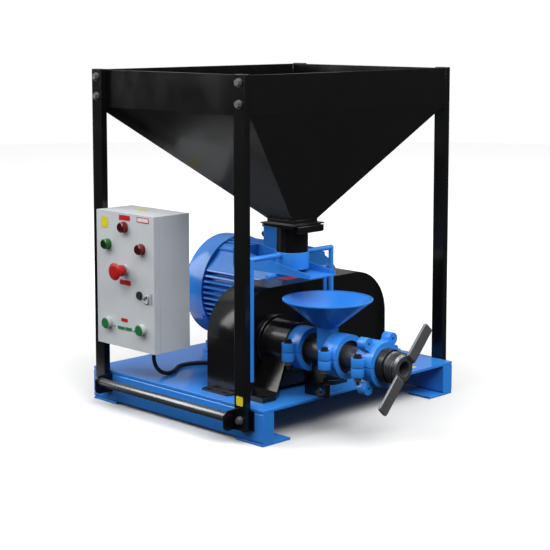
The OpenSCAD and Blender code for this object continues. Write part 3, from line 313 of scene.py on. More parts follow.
def enamel(name, colour, rough, spread, peel, dust):
    """Sprayed enamel: cloudy tone, orange peel, dull patches and dust on what lies flat."""
    f = Finish(name)
    cloud = f.patches(scale=3.5, detail=5.0, rough=0.6, span=(0.3, 0.7))
    tone = f.mix(cloud, shade(colour, 1.0 - spread), shade(colour, 1.0 + spread))
    normal = f.add("ShaderNodeSeparateXYZ")
    f.link(f.add("ShaderNodeNewGeometry").outputs["Normal"], normal.inputs[0])
    veil = f.add("ShaderNodeMath", operation="MULTIPLY")
    f.link(f.ramp(normal.outputs["Z"], span=(0.6, 1.0), to=(0.0, dust)), veil.inputs[0])
    f.link(f.patches(scale=7.0, detail=6.0, rough=0.65, span=(0.35, 0.75), to=(0.25, 1.0)),
           veil.inputs[1])
    f.colour(f.mix(veil.outputs[0], tone, DUST))
    f.roughness(f.patches(scale=11.0, detail=6.0, rough=0.65, span=(0.3, 0.75),
                          to=(rough - 0.04, rough + 0.08)))
    fine = f.bump(f.noise(scale=240.0, detail=2.0, rough=0.45),
                  strength=0.06 * peel, distance=0.0004)
    f.bump(f.noise(scale=38.0, detail=3.0, rough=0.5),
           strength=0.05 * peel, distance=0.0012, chain=fine)
    return f.mat


def powder_coat(name, colour):
    """Fine textured powder coat with faint handling marks."""
    f = Finish(name)
    marks = f.patches(scale=9.0, detail=5.0, rough=0.6, span=(0.35, 0.75))
    f.colour(f.mix(marks, shade(colour, 1.02), shade(colour, 0.95)))
    f.roughness(f.patches(scale=22.0, detail=4.0, rough=0.6, span=(0.3, 0.7), to=(0.36, 0.48)))
    fine = f.bump(f.noise(scale=700.0, detail=2.0, rough=0.6), strength=0.16, distance=0.0003)
    f.bump(f.noise(scale=180.0, detail=2.0, rough=0.5),
           strength=0.05, distance=0.0006, chain=fine)
    return f.mat


def machined(name, colour, rough, metallic, stretch, oil):
    """Turned or ground steel: fine tool lines and oil stains."""
    f = Finish(name)
    lines = f.noise(scale=90.0, detail=3.0, rough=0.6, stretch=stretch)
    stain = f.ramp(f.noise(scale=14.0, detail=6.0, rough=0.62, distortion=0.6),
                   span=(0.36, 0.70), to=(0.0, oil))
    base = f.mix(f.ramp(lines, span=(0.3, 0.7)), shade(colour, 0.92), shade(colour, 1.08))
    f.colour(f.mix(stain, base, shade(colour, 0.6)))
    f.roughness(f.patches(scale=32.0, detail=5.0, rough=0.6, span=(0.3, 0.7),
                          to=(rough - 0.02, rough + 0.03)))
    f.bump(lines, strength=0.008, distance=0.0002)
    f.set(Metallic=metallic)
    return f.mat


def moulded(name, colour, rough):
    """Moulded plastic with a faint flow pattern."""
    f = Finish(name)
    flow = f.patches(scale=40.0, detail=4.0, rough=0.6, span=(0.3, 0.7))
    f.colour(f.mix(flow, shade(colour, 0.88), shade(colour, 1.10)))
    f.roughness(f.patches(scale=90.0, detail=3.0, rough=0.5, span=(0.3, 0.7),
                          to=(rough - 0.04, rough + 0.06)))
    f.bump(f.noise(scale=500.0, detail=2.0, rough=0.5), strength=0.05, distance=0.0002)
    return f.mat


def label_film(name, colour):
    """Plain coloured plate, a little faded in patches."""
    f = Finish(name)
    faded = f.patches(scale=60.0, detail=5.0, rough=0.6, span=(0.3, 0.75))
    f.colour(f.mix(faded, colour, shade(colour, 0.86)))
    f.roughness(f.patches(scale=120.0, detail=3.0, rough=0.5, span=(0.3, 0.7), to=(0.28, 0.40)))
    f.bump(f.noise(scale=350.0, detail=2.0, rough=0.5), strength=0.04, distance=0.0002)
    return f.mat


def sheath(name, colour, scuffed):
    """Cable sheath: matt, with scuffs of a second colour."""
    f = Finish(name)
    scuffs = f.patches(scale=70.0, detail=6.0, rough=0.6, span=(0.45, 0.75))
    f.colour(f.mix(scuffs, colour, scuffed))
    f.roughness(f.patches(scale=50.0, detail=4.0, rough=0.6, span=(0.3, 0.7), to=(0.45, 0.62)))
    f.bump(f.noise(scale=420.0, detail=3.0, rough=0.5), strength=0.08, distance=0.0002)
    return f.mat


def studio_floor(name, painted_shade_near, far):
    """Pale floor with painted shade and painted light: darker near the machine, whiter away from
    it, and lit a little from within far out.
    """
    f = Finish(name)
    reach = f.add("ShaderNodeVectorMath", operation="LENGTH")
    f.link(f.coords, reach.inputs[0])
    # Painted shade: the floor's colour darkens towards the machine
    f.colour(f.mix(f.ramp(reach.outputs["Value"], span=(0.6, 2.2)), painted_shade_near, far))
    f.roughness(f.patches(scale=4.0, detail=3.0, rough=0.5, span=(0.3, 0.7), to=(0.65, 0.75)))
    # Painted light: the floor glows a little more the farther it lies from the machine
    f.set(Emission_Color=WHITE_LIGHT)
    f.link(f.ramp(reach.outputs["Value"], span=(1.5, 6.0), to=(0.0, 0.25)),
           f.shader.inputs["Emission Strength"])
    return f.mat


def studio_wall(name, strength):
    """Evenly lit white wall or panel."""
    f = Finish(name)
    f.set(Base_Color=(0.0, 0.0, 0.0, 1.0), Roughness=1.0, Specular_IOR_Level=0.0,
          Emission_Color=WHITE_LIGHT, Emission_Strength=strength)
    return f.mat


MATERIALS = {}


def make_materials():
    """Makes every finish, the main ones in the colours of the settings."""
    c = bpy.context.scene.extruder_colours
    blue, black, grey, steel = (tuple(v) for v in (c.blue, c.black, c.grey, c.steel))
    MATERIALS.update({
        "blue_paint": enamel("blue_enamel", blue, rough=0.17, spread=0.03, peel=0.35, dust=0.020),
        "cast_blue": enamel("blue_casting_enamel", blue, rough=0.22, spread=0.04, peel=1.1,
                            dust=0.015),
        "black_paint": enamel("black_enamel", black, rough=0.18, spread=0.10, peel=0.45,
                              dust=0.004),
        "grey_paint": powder_coat("cabinet_powder_coat", grey),
        "dark_steel": machined("darkened_steel", shade(steel, 0.45), rough=0.34, metallic=0.60,
                               stretch=(1.0, 4.0, 1.0), oil=0.20),
        "bar_steel": machined("flat_bar_steel", shade(steel, 0.90), rough=0.38, metallic=0.60,
                              stretch=(0.3, 0.3, 0.3), oil=0.15),
        "round_bar": machined("round_bar_steel", shade(steel, 1.10), rough=0.27, metallic=0.85,
                              stretch=(1.0, 0.2, 1.0), oil=0.10),
        "die_black": machined("blackened_die", (0.016, 0.0165, 0.018), rough=0.26, metallic=0.30,
                              stretch=(1.0, 9.0, 1.0), oil=0.20),
        "thread_steel": machined("threaded_steel", shade(steel, 0.75), rough=0.34, metallic=0.70,
                                 stretch=(1.0, 9.0, 1.0), oil=0.20),
        "bright_steel": machined("screw_steel", (0.55, 0.56, 0.57), rough=0.30, metallic=0.95,
                                 stretch=(1.0, 6.0, 1.0), oil=0.25),
        "zinc_plate": machined("zinc_plating", ZINC, rough=0.28, metallic=0.80,
                               stretch=(0.5, 0.5, 0.5), oil=0.08),
        "dull_zinc": machined("dull_zinc", ZINC, rough=0.45, metallic=0.25,
                              stretch=(2.0, 2.0, 2.0), oil=0.15),
        "bolt_black": machined("blackened_bolts", (0.030, 0.031, 0.033), rough=0.34, metallic=0.60,
                               stretch=(1.0, 1.0, 3.0), oil=0.30),
        "red_plastic": moulded("red_moulding", (0.34, 0.001, 0.0015), rough=0.36),
        "red_lens": moulded("red_lens", (0.110, 0.004, 0.004), rough=0.22),
        "dark_red_lens": moulded("dark_red_lens", (0.040, 0.001, 0.002), rough=0.20),
        "green_plastic": moulded("green_moulding", (0.001, 0.125, 0.030), rough=0.36),
        "green_lens": moulded("green_lens", (0.008, 0.100, 0.014), rough=0.22),
        "dark_green_lens": moulded("dark_green_lens", (0.001, 0.022, 0.002), rough=0.20),
        "pale_plastic": moulded("pale_collar", (0.37, 0.395, 0.395), rough=0.40),
        "black_plastic": moulded("black_moulding", (0.010, 0.010, 0.011), rough=0.38),
        "cable_rubber": sheath("cable_sheath", colour=(0.010, 0.010, 0.011),
                               scuffed=(0.028, 0.028, 0.029)),
        "label_red": label_film("red_plate", (0.42, 0.006, 0.012)),
        "label_yellow": label_film("yellow_plate", (0.62, 0.53, 0.025)),
        "label_green": label_film("green_plate", (0.012, 0.17, 0.060)),
        "label_white": label_film("white_plate", (0.62, 0.62, 0.62)),
        "label_dark": label_film("dark_plate", (0.02, 0.02, 0.022)),
        # The near colour is painted shade round the machine
        "floor": studio_floor("studio_floor", painted_shade_near=(0.62, 0.62, 0.62), far=(0.94, 0.94, 0.94)),
        "wall": studio_wall("studio_wall", strength=1.0),
        "panel": studio_wall("studio_panel", strength=0.35),
    })


# Mesh tools

# Points closer than this are one, in new pieces and in copies of CAD nodes
MERGE_NEW, MERGE_CAD = 1e-6, 2e-6
# Faces of a CAD copy that meet at less than this are joined, in degrees
JOIN_ANGLE = 0.4
# A curved wall bends between these angles at an edge; more is a sharp edge
BEND_LEAST, BEND_MOST = 0.5, 28.0
# A neighbour below this share of a face's area doesn't make it curved
SMALL_SHARE = 0.2
# Smoothing limit across a broken edge, in degrees
BROKEN_SMOOTH = 60.0
# Digits that tell planes apart, and what keeps their offsets off the limit of rounding
NORMAL_DIGITS, OFFSET_DIGITS = 3, 4
PLANE_NUDGE = 3e-5


def add_object(name, data):
    """New object in the scene's collection."""
    obj = bpy.data.objects.new(name, data)
    bpy.context.scene.collection.objects.link(obj)
    return obj


def new_piece(name, bm, material, body, smooth=35.0, keep_flat=False):
    """Turns a bmesh into a finished piece that rides on a body."""
    bmesh.ops.remove_doubles(bm, verts=bm.verts, dist=MERGE_NEW)
    bmesh.ops.recalc_face_normals(bm, faces=bm.faces)
    mesh = bpy.data.meshes.new(name)
    bm.to_mesh(mesh)
    bm.free()
    if not keep_flat:
        mesh.shade_smooth()
    return place_mesh(name, mesh, material, body, smooth)


def place_mesh(name, mesh, material, body, smooth):
    """Finished piece from a mesh; faces already marked flat stay flat."""
    flags = [face.use_smooth for face in mesh.polygons]
    mesh.set_sharp_from_angle(angle=math.radians(smooth))
    mesh.polygons.foreach_set("use_smooth", flags)
    obj = add_object(name, mesh)
    if not mesh.materials:
        mesh.materials.append(MATERIALS[material])
    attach(obj, body)
    return obj


def copy_of(node):
    """Merged copy of a CAD node's mesh, without stored normals and with its flat faces joined."""
    source = bpy.data.objects[node].data.copy()
    if "custom_normal" in source.attributes:
        source.attributes.remove(source.attributes["custom_normal"])
    bm = bmesh.new()
    bm.from_mesh(source)
    bpy.data.meshes.remove(source)
    bmesh.ops.remove_doubles(bm, verts=bm.verts, dist=MERGE_CAD)
    bmesh.ops.dissolve_limit(bm, angle_limit=math.radians(JOIN_ANGLE),
                             verts=bm.verts, edges=bm.edges)
    return bm


def plane_of(face):
    """Rounded normal and offset, the same for all faces in one plane."""
    offset = face.normal.dot(face.verts[0].co) + PLANE_NUDGE
    return (*(round(part, NORMAL_DIGITS) for part in face.normal), round(offset, OFFSET_DIGITS))


def soften(bm, width):
    """Breaks the sharp edges of a closed mesh and keeps its plane faces flat."""
    bm.normal_update()
    turn = {e: math.degrees(e.calc_face_angle(0.0)) for e in bm.edges if len(e.link_faces) == 2}
    area = {f: f.calc_area() for f in bm.faces}

    def bends(face, edge):
        return (BEND_LEAST < turn.get(edge, 0.0) <= BEND_MOST
                and min(area[g] for g in edge.link_faces) > SMALL_SHARE * area[face])

    flat = {plane_of(f) for f in bm.faces if not any(bends(f, e) for e in f.edges)}
    sharp = [e for e, angle in turn.items() if angle > BEND_MOST]
    bmesh.ops.bevel(bm, geom=sharp, offset=width, offset_type="OFFSET", segments=2, profile=0.5,
                    affect="EDGES", clamp_overlap=True)
    bm.normal_update()
    for face in bm.faces:
        face.smooth = plane_of(face) not in flat


def softened(node, width):
    """Edge-broken copy that stands for a CAD node."""
    bm = copy_of(node)
    soften(bm, width)
    piece = new_piece("soft_" + node, bm, finish_of(node), BODY_OF[node],
                      BROKEN_SMOOTH, keep_flat=True)
    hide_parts(node)


def add_prism(bm, outline, low, high, matrix):
    """Closed prism from an outline between two heights, moved by a matrix."""
    under = [bm.verts.new(matrix @ Vector((x, y, low))) for x, y in outline]
    over = [bm.verts.new(matrix @ Vector((x, y, high))) for x, y in outline]
    bm.faces.new(list(reversed(under)))
    bm.faces.new(over)
    skin(bm, (under, over))


def rounded_outline(w, h, r, steps=5):
    """Outline of a rectangle with round corners."""
    points = []
    for sx, sy, start in ((1, 1, 0), (-1, 1, 90), (-1, -1, 180), (1, -1, 270)):
        for k in range(steps + 1):
            a = math.radians(start + 90 * k / steps)
            points.append((sx * (w / 2 - r) + r * math.cos(a),
                           sy * (h / 2 - r) + r * math.sin(a)))
    return points


def circle_points(radius, steps):
    """Points of a circle round the origin."""
    turns = (2 * math.pi * k / steps for k in range(steps))
    return [(radius * math.cos(t), radius * math.sin(t)) for t in turns]


def skin(bm, rings):
    """Faces between rings of points; a ring of one point closes an end."""
    steps = max(len(ring) for ring in rings)
    for a, b in zip(rings, rings[1:]):
        for k in range(steps):
            j = (k + 1) % steps
            corners = (a[k % len(a)], a[j % len(a)], b[j % len(b)], b[k % len(b)])
            corners = list(dict.fromkeys(corners))
            if len(corners) > 2:
                bm.faces.new(corners)


def turned(bm, profile, matrix, steps):
    """Closed turned shape from (radius, height) points."""
    rings = []
    for r, h in profile:
        points = circle_points(r, steps) if r > 0 else [(0, 0)]
        rings.append([bm.verts.new(matrix @ Vector((x, y, h))) for x, y in points])
    skin(bm, rings)


def wire_loop(bm, path, radius, steps=8):
    """Closed round wire through points."""
    rings = []
    across = None
    for i, point in enumerate(path):
        ahead = (path[(i + 1) % len(path)] - path[i - 1]).normalized()
        if across is None:
            across = ahead.orthogonal().normalized()
        else:
            across = (across - ahead * across.dot(ahead)).normalized()
        other = ahead.cross(across)
        rings.append([])
        for k in range(steps):
            t = 2 * math.pi * k / steps
            rings[-1].append(bm.verts.new(
                point + radius * (across * math.cos(t) + other * math.sin(t))))
    skin(bm, rings + rings[:1])


def facing(origin, normal):
    """Matrix at an origin whose Z looks along a normal."""
    z = Vector(normal).normalized()
    x = Vector(UP).cross(z)
    if x.length < 1e-6:
        x = Vector((1, 0, 0))
    x.normalize()
    y = z.cross(x)
    m = Matrix((x, y, z)).transposed().to_4x4()
    m.translation = origin
    return m


# Geometry node trees

# Radius of a thread's ridge as a share of its pitch
RIDGE_SHARE = 0.27
# Smoothing limits of grown pieces, in degrees
BOLT_SMOOTH, THREAD_SMOOTH, RIB_SMOOTH = 30.0, 30.0, 40.0


def node_group(name, inputs):
    """Empty geometry tree with named inputs; returns tree, input node and output node."""
    old = bpy.data.node_groups.get(name)
    if old:
        bpy.data.node_groups.remove(old)
    tree = bpy.data.node_groups.new(name, "GeometryNodeTree")
    tree.interface.new_socket("Geometry", in_out="INPUT", socket_type="NodeSocketGeometry")
    tree.interface.new_socket("Geometry", in_out="OUTPUT", socket_type="NodeSocketGeometry")
    for label, kind in inputs:
        tree.interface.new_socket(label, in_out="INPUT", socket_type=kind)
    return tree, tree.nodes.new("NodeGroupInput"), tree.nodes.new("NodeGroupOutput")


def finish_group(tree, geometry, source, out):
    """Realizes the instances and sets the material."""
    realize = tree.nodes.new("GeometryNodeRealizeInstances")
    paint = tree.nodes.new("GeometryNodeSetMaterial")
    tree.links.new(geometry, realize.inputs[0])
    tree.links.new(realize.outputs[0], paint.inputs["Geometry"])
    tree.links.new(source.outputs["Material"], paint.inputs["Material"])
    tree.links.new(paint.outputs[0], out.inputs["Geometry"])


def calc(tree, operation, *values):
    """Math node on values that are sockets or numbers."""
    node = tree.nodes.new("ShaderNodeMath")
    node.operation = operation
    for socket, value in zip(node.inputs, values):
        if isinstance(value, bpy.types.NodeSocket):
            tree.links.new(value, socket)
        else:
            socket.default_value = value
    return node.outputs[0]


def solid_in_tree(tree, sides, radius, depth, lift=0.0):
    """Cylinder whose lower end stands at a height; its radius and depth are sockets."""
    cylinder = tree.nodes.new("GeometryNodeMeshCylinder")
    cylinder.inputs["Vertices"].default_value = sides
    tree.links.new(radius, cylinder.inputs["Radius"])
    tree.links.new(depth, cylinder.inputs["Depth"])
    shift = tree.nodes.new("ShaderNodeCombineXYZ")
    tree.links.new(calc(tree, "MULTIPLY_ADD", depth, 0.5, lift), shift.inputs["Z"])
    move = tree.nodes.new("GeometryNodeTransform")
    tree.links.new(cylinder.outputs["Mesh"], move.inputs["Geometry"])
    tree.links.new(shift.outputs[0], move.inputs["Translation"])
    return move.outputs[0]


def bolt_tree():
    """Hexagon bolts with washers and thread ends on points, turned to the points' direction."""
    tree, source, out = node_group("hex_bolts", (
        ("Head width", "NodeSocketFloat"), ("Head height", "NodeSocketFloat"),
        ("Stub length", "NodeSocketFloat"), ("Material", "NodeSocketMaterial")))
    width, height, stub = (source.outputs[k] for k in ("Head width", "Head height", "Stub length"))
    washer_r, washer_t, head_r, crown_r, crown_t, stub_r = (
        calc(tree, "MULTIPLY", width, share) for share in (0.62, 0.11, 0.50, 0.40, 0.05, 0.27))
    head_top = calc(tree, "ADD", washer_t, height)
    hexagon, fine, coarse = 6, 28, 20
    washer = solid_in_tree(tree, fine, washer_r, washer_t)
    head = solid_in_tree(tree, hexagon, head_r, height, washer_t)
    crown = solid_in_tree(tree, fine, crown_r, crown_t, head_top)
    tail = solid_in_tree(tree, coarse, stub_r, stub, head_top)
    join = tree.nodes.new("GeometryNodeJoinGeometry")
    for part in (washer, head, crown, tail):
        tree.links.new(part, join.inputs[0])
    direction = tree.nodes.new("GeometryNodeInputNamedAttribute")
    direction.data_type = "FLOAT_VECTOR"
    direction.inputs["Name"].default_value = "direction"
    turn = tree.nodes.new("FunctionNodeAlignRotationToVector")
    turn.axis = "Z"
    tree.links.new(direction.outputs["Attribute"], turn.inputs["Vector"])
    points = tree.nodes.new("GeometryNodeInstanceOnPoints")
    tree.links.new(source.outputs["Geometry"], points.inputs["Points"])
    tree.links.new(join.outputs[0], points.inputs["Instance"])
    tree.links.new(turn.outputs[0], points.inputs["Rotation"])
    finish_group(tree, points.outputs[0], source, out)
    return tree


def thread_tree():
    """Ridge of a screw thread round the Z axis."""
    tree, source, out = node_group("screw_thread", (
        ("Radius", "NodeSocketFloat"), ("Length", "NodeSocketFloat"), ("Turns", "NodeSocketFloat"),
        ("Ridge", "NodeSocketFloat"), ("Material", "NodeSocketMaterial")))
    spiral = tree.nodes.new("GeometryNodeCurveSpiral")
    spiral.inputs["Resolution"].default_value = 40
    for label, socket in (("Turns", "Rotations"), ("Radius", "Start Radius"),
                          ("Radius", "End Radius"), ("Length", "Height")):
        tree.links.new(source.outputs[label], spiral.inputs[socket])
    ridge = tree.nodes.new("GeometryNodeCurvePrimitiveCircle")
    ridge.inputs["Resolution"].default_value = 4
    tree.links.new(source.outputs["Ridge"], ridge.inputs["Radius"])
    sweep = tree.nodes.new("GeometryNodeCurveToMesh")
    sweep.inputs["Fill Caps"].default_value = True
    tree.links.new(spiral.outputs[0], sweep.inputs["Curve"])
    tree.links.new(ridge.outputs[0], sweep.inputs["Profile Curve"])
    finish_group(tree, sweep.outputs[0], source, out)
    return tree


def rib_tree():
    """Ring of round ribs that stand along the Z axis."""
    tree, source, out = node_group("rib_ring", (
        ("Count", "NodeSocketInt"), ("Radius", "NodeSocketFloat"), ("Length", "NodeSocketFloat"),
        ("Rib radius", "NodeSocketFloat"), ("Material", "NodeSocketMaterial")))
    ring = tree.nodes.new("GeometryNodeMeshCircle")
    tree.links.new(source.outputs["Count"], ring.inputs["Vertices"])
    tree.links.new(source.outputs["Radius"], ring.inputs["Radius"])
    rib_sides = 8
    rib = solid_in_tree(tree, rib_sides, source.outputs["Rib radius"], source.outputs["Length"])
    points = tree.nodes.new("GeometryNodeInstanceOnPoints")
    tree.links.new(ring.outputs[0], points.inputs["Points"])
    tree.links.new(rib, points.inputs["Instance"])
    finish_group(tree, points.outputs[0], source, out)
    return tree


def seed_mesh(name, points):
    """Mesh of loose points for a tree to grow on."""
    mesh = bpy.data.meshes.new(name + "_places")
    mesh.from_pydata(points, [], [])
    return mesh


def grown(name, tree, base, material, values):
    """Runs a geometry tree on a mesh of points and returns the plain result."""
    holder = add_object(name + "_points", base)
    modifier = holder.modifiers.new("grow", "NODES")
    modifier.node_group = tree
    keys = {s.name: s.identifier for s in tree.interface.items_tree if s.in_out == "INPUT"}
    for label, value in (*values.items(), ("Material", MATERIALS[material])):
        modifier[keys[label]] = value
    graph = bpy.context.evaluated_depsgraph_get()
    mesh = bpy.data.meshes.new_from_object(
        holder.evaluated_get(graph), preserve_all_data_layers=False, depsgraph=graph)
    holder.modifiers.remove(modifier)
    bpy.data.objects.remove(holder)
    bpy.data.meshes.remove(base)
    mesh.name = name
    mesh.shade_smooth()
    return mesh


def bolts(name, places, width, height, material, stub=0.0):
    """Bolts of the machine at (point, direction) places, made by the bolt tree."""
    base = seed_mesh(name, [point for point, _ in places])
    layer = base.attributes.new("direction", "FLOAT_VECTOR", "POINT")
    for item, (_, direction) in zip(layer.data, places):
        item.vector = Vector(direction)
    mesh = grown(name, bolt_tree(), base, material,
                 {"Head width": width, "Head height": height, "Stub length": stub})
    place_mesh(name, mesh, material, "machine", BOLT_SMOOTH)


def thread(name, matrix, radius, length, pitch, material, body):
    """Thread ridge from a matrix's origin along its Z."""
    mesh = grown(name, thread_tree(), seed_mesh(name, [(0, 0, 0)]), material,
                 {"Radius": radius, "Length": length, "Turns": length / pitch,
                  "Ridge": pitch * RIDGE_SHARE})
    mesh.transform(matrix)
    place_mesh(name, mesh, material, body, THREAD_SMOOTH)


def rib_ring(name, matrix, count, radius, length, rib, material, body):
    """Ribs round a matrix's Z axis."""
    mesh = grown(name, rib_tree(), seed_mesh(name, [(0, 0, 0)]), material,
                 {"Count": count, "Radius": radius, "Length": length, "Rib radius": rib})
    mesh.transform(matrix)
    place_mesh(name, mesh, material, body, RIB_SMOOTH)


# Stage tools

WALL_R, WALL_TOP, FLOOR_Z = 9.0, 6.0, -0.0005
LIGHT_TARGET = Vector((0.0, 0.0, 0.45))
# Softboxes: place and side in metres, power in watts
SOFTBOXES = {
    "key_softbox": ((-0.9, -2.7, 3.6), 2.6, 195),
    "left_softbox": ((-2.8, 0.2, 3.4), 1.6, 70),
    "rear_softbox": ((-2.3, 2.7, 2.4), 2.8, 115),
    "front_softbox": ((2.2, -2.6, 3.0), 1.4, 65),
}
# Camera fitted to the photo: place from the middle of the base, angles in radians, lens in mm
CAMERA_PLACE = (-2.8992, -2.9013, 1.0757)
CAMERA_YAW, CAMERA_PITCH = 0.78564, 0.11398
CAMERA_LENS, CAMERA_SENSOR, CAMERA_SHIFT = 95.037, 36.0, -0.16
CAMERA_NEAR, CAMERA_FAR = 0.1, 60.0


def stage_surface(name, material, rings, steps=96, span=(0.0, 1.0)):
    """Disc, wall or panel of the stage through rings of (radius, height), over part of a turn."""
    start, end = span
    turns = [2 * math.pi * (start + (end - start) * k / steps) for k in range(steps + 1)]
    bm = bmesh.new()
    rows = [[bm.verts.new((r * math.cos(t), r * math.sin(t), z)) for t in turns]
            for r, z in rings]
    if len(rows) == 1:
        bm.faces.new(rows[0][:-1])
    for a, b in zip(rows, rows[1:]):
        for k in range(steps):
            bm.faces.new((a[k], b[k], b[k + 1], a[k + 1]))
    mesh = bpy.data.meshes.new(name)
    bm.to_mesh(mesh)
    bm.free()
    mesh.materials.append(MATERIALS[material])
    obj = add_object(name, mesh)
    return obj


def studio_world():
    """Even white light from above, faint from the sides and below."""
    world = bpy.data.worlds.new("studio_light")
    world.use_nodes = True
    nodes, links = world.node_tree.nodes, world.node_tree.links
    split = nodes.new("ShaderNodeSeparateXYZ")
    links.new(nodes.new("ShaderNodeTexCoord").outputs["Generated"], split.inputs[0])
    rise = nodes.new("ShaderNodeMapRange")
    rise.inputs["From Min"].default_value = 0.30
    rise.inputs["To Min"].default_value = 0.06
    rise.inputs["To Max"].default_value = 1.30
    links.new(split.outputs["Z"], rise.inputs["Value"])
    back = nodes["Background"]
    back.inputs["Color"].default_value = WHITE_LIGHT
    links.new(rise.outputs["Result"], back.inputs["Strength"])
    return world


def look_along(obj, place, direction):
    """Puts a light or camera at a place and turns it along a direction."""
    obj.location = place
    obj.rotation_mode = "QUATERNION"
    obj.rotation_quaternion = direction.to_track_quat("-Z", "Y")


def photo_camera():
    """Camera that sees the machine as the photo does."""
    lens = bpy.data.cameras.new("photo_camera")
    lens.sensor_fit = "HORIZONTAL"
    lens.sensor_width = CAMERA_SENSOR
    lens.lens = CAMERA_LENS
    lens.shift_y = CAMERA_SHIFT
    lens.clip_start, lens.clip_end = CAMERA_NEAR, CAMERA_FAR
    level = math.cos(CAMERA_PITCH)
    look = Vector((math.sin(CAMERA_YAW) * level, math.cos(CAMERA_YAW) * level,
                   -math.sin(CAMERA_PITCH)))
    camera = add_object("photo_camera", lens)
    look_along(camera, at(*CAMERA_PLACE), look)
    return camera


# Pieces


class EXTRUDER_OT_finishes(bpy.types.Operator):
    """Gives each of the machine's solids its finish"""

    bl_idname = "extruder.finishes"
    bl_label = "Finishes"

    def execute(self, context):
        make_materials()
        for node in SLOT_OF:
            materials = bpy.data.objects[node].data.materials
            materials.clear()
            materials.append(MATERIALS[finish_of(node)])
        return {"FINISHED"}


class EXTRUDER_OT_studio(bpy.types.Operator):
    """Sets the floor, the soft light and the camera"""

    bl_idname = "extruder.studio"
    bl_label = "Studio"

    def execute(self, context):
        floor = stage_surface("studio_floor", "floor", [(WALL_R, FLOOR_Z)])
        wall = stage_surface("studio_wall", "wall", [(WALL_R, FLOOR_Z), (WALL_R, WALL_TOP)])
        for obj in (floor, wall):
            obj.visible_glossy = obj.visible_diffuse = False
        wall.visible_shadow = False
        card_r, card_z, card_place = 0.38, 0.002, (-0.30, 0.86, 0.0)
        card = stage_surface("studio_card", "wall", [(card_r, card_z)])
        card.data.transform(Matrix.Translation(card_place))
        panel_r, panel_low, panel_top = 3.2, 0.02, 1.1
        panel = stage_surface("studio_panel", "panel", [(panel_r, panel_low), (panel_r, panel_top)],
                              steps=12, span=(0.06, 0.20))
        for obj in (card, panel):
            obj.visible_camera = obj.visible_diffuse = obj.visible_shadow = False

        context.scene.world = studio_world()
        for name, (place, side, power) in SOFTBOXES.items():
            light = bpy.data.lights.new(name, "AREA")
            light.shape = "SQUARE"
            light.size = side
            light.energy = power
            look_along(add_object(name, light), place, LIGHT_TARGET - Vector(place))
        context.scene.camera = photo_camera()
        context.scene.view_settings.view_transform = "Standard"
        return {"FINISHED"}


class EXTRUDER_OT_cable(bpy.types.Operator):
    """Lays the cable from the cabinet over the deck to the motor"""

    bl_idname = "extruder.cable"
    bl_label = "Cable"

    def execute(self, context):
        path = smooth_path(cable_route(), steps=5)
        curve = bpy.data.curves.new("motor_cable", "CURVE")
        curve.dimensions = "3D"
        curve.bevel_depth = CABLE_D / 2
        curve.bevel_resolution = 4
        curve.use_fill_caps = True
        spline = curve.splines.new("POLY")
        spline.points.add(len(path) - 1)
        for point, place in zip(spline.points, path):
            point.co = (*place, 1.0)
        spline.use_smooth = True
        curve.materials.append(MATERIALS["cable_rubber"])
        cable = add_object("motor_cable", curve)
        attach(cable, "machine")
        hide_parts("cable")
        return {"FINISHED"}


class EXTRUDER_OT_edges(bpy.types.Operator):
    """Breaks the sharp edges of plates, tubes and castings"""

    bl_idname = "extruder.edges"
    bl_label = "Broken edges"

    def execute(self, context):
        edge = context.scene.extruder_fasteners.edge
        for node, factor in EDGE_FACTORS.items():
            softened(node, edge * factor)
        return {"FINISHED"}


class EXTRUDER_OT_frame_bolts(bpy.types.Operator):
    """Sets the bolts of the hopper frame and the nut under the deck"""

    bl_idname = "extruder.frame_bolts"
    bl_label = "Frame bolts"

    def execute(self, context):
        size = context.scene.extruder_fasteners
        heights = (0.923, 0.869, 0.0625)
        posts = [(at(side * POST_OUT, y, z), (side, 0, 0))
                 for side in SIDES for y in (-POST_Y, POST_Y) for z in heights]
        bolts("post_bolts", posts, size.post_bolt, height=0.0065,
              material="bar_steel")
        nut_x, nut_y = 0.262, -0.318
        bolts("deck_nut", [(at(nut_x, nut_y, DECK_UNDER), DOWN)], width=0.0200, height=0.0090,
              stub=0.006, material="blue_paint")
        return {"FINISHED"}


class EXTRUDER_OT_motor_bolts(bpy.types.Operator):
    """Sets the bolts of the motor's feet and shield and the screws of its lid and cowl"""

    bl_idname = "extruder.motor_bolts"
    bl_label = "Motor bolts"

    def execute(self, context):
        size = context.scene.extruder_fasteners
        foot_x, foot_ys, foot_top = 0.135, (0.054, 0.230), DECK_TOP + 0.030
        feet = [(at(MOTOR_X + side * foot_x, y, foot_top), UP) for side in SIDES for y in foot_ys]
        bolts("motor_bolts", feet, width=0.0210, height=0.0085, stub=0.008,
              material="zinc_plate")

        def round_axis(radius, y, angles):
            """Points round the motor's axis, each with the direction out from it."""
            for a in map(math.radians, angles):
                c, s = math.cos(a), math.sin(a)
                yield at(MOTOR_X + radius * c, y, MOTOR_Z + radius * s), (c, 0, s)

        shield_r, shield_y = 0.124, -0.014
        shield = [(point, FRONT)
                  for point, _ in round_axis(shield_r, shield_y, (45, 135, 225, 315))]
        bolts("shield_bolts", shield, width=0.0165, height=0.0070,
              material="zinc_plate")
        lid_x, lid_y, lid_middle, lid_top = 0.043, 0.038, 0.084, 0.482
        lid = [(at(MOTOR_X + sx * lid_x, lid_middle + sy * lid_y, lid_top), UP)
               for sx in SIDES for sy in SIDES]
        cowl_r, cowl_y = 0.1563, 0.297
        cowl = list(round_axis(cowl_r, cowl_y, (-30, 80, 210)))
        bolts("lid_and_cowl_screws", lid + cowl, size.small_screw, height=0.0042,
              material="blue_paint")
        return {"FINISHED"}


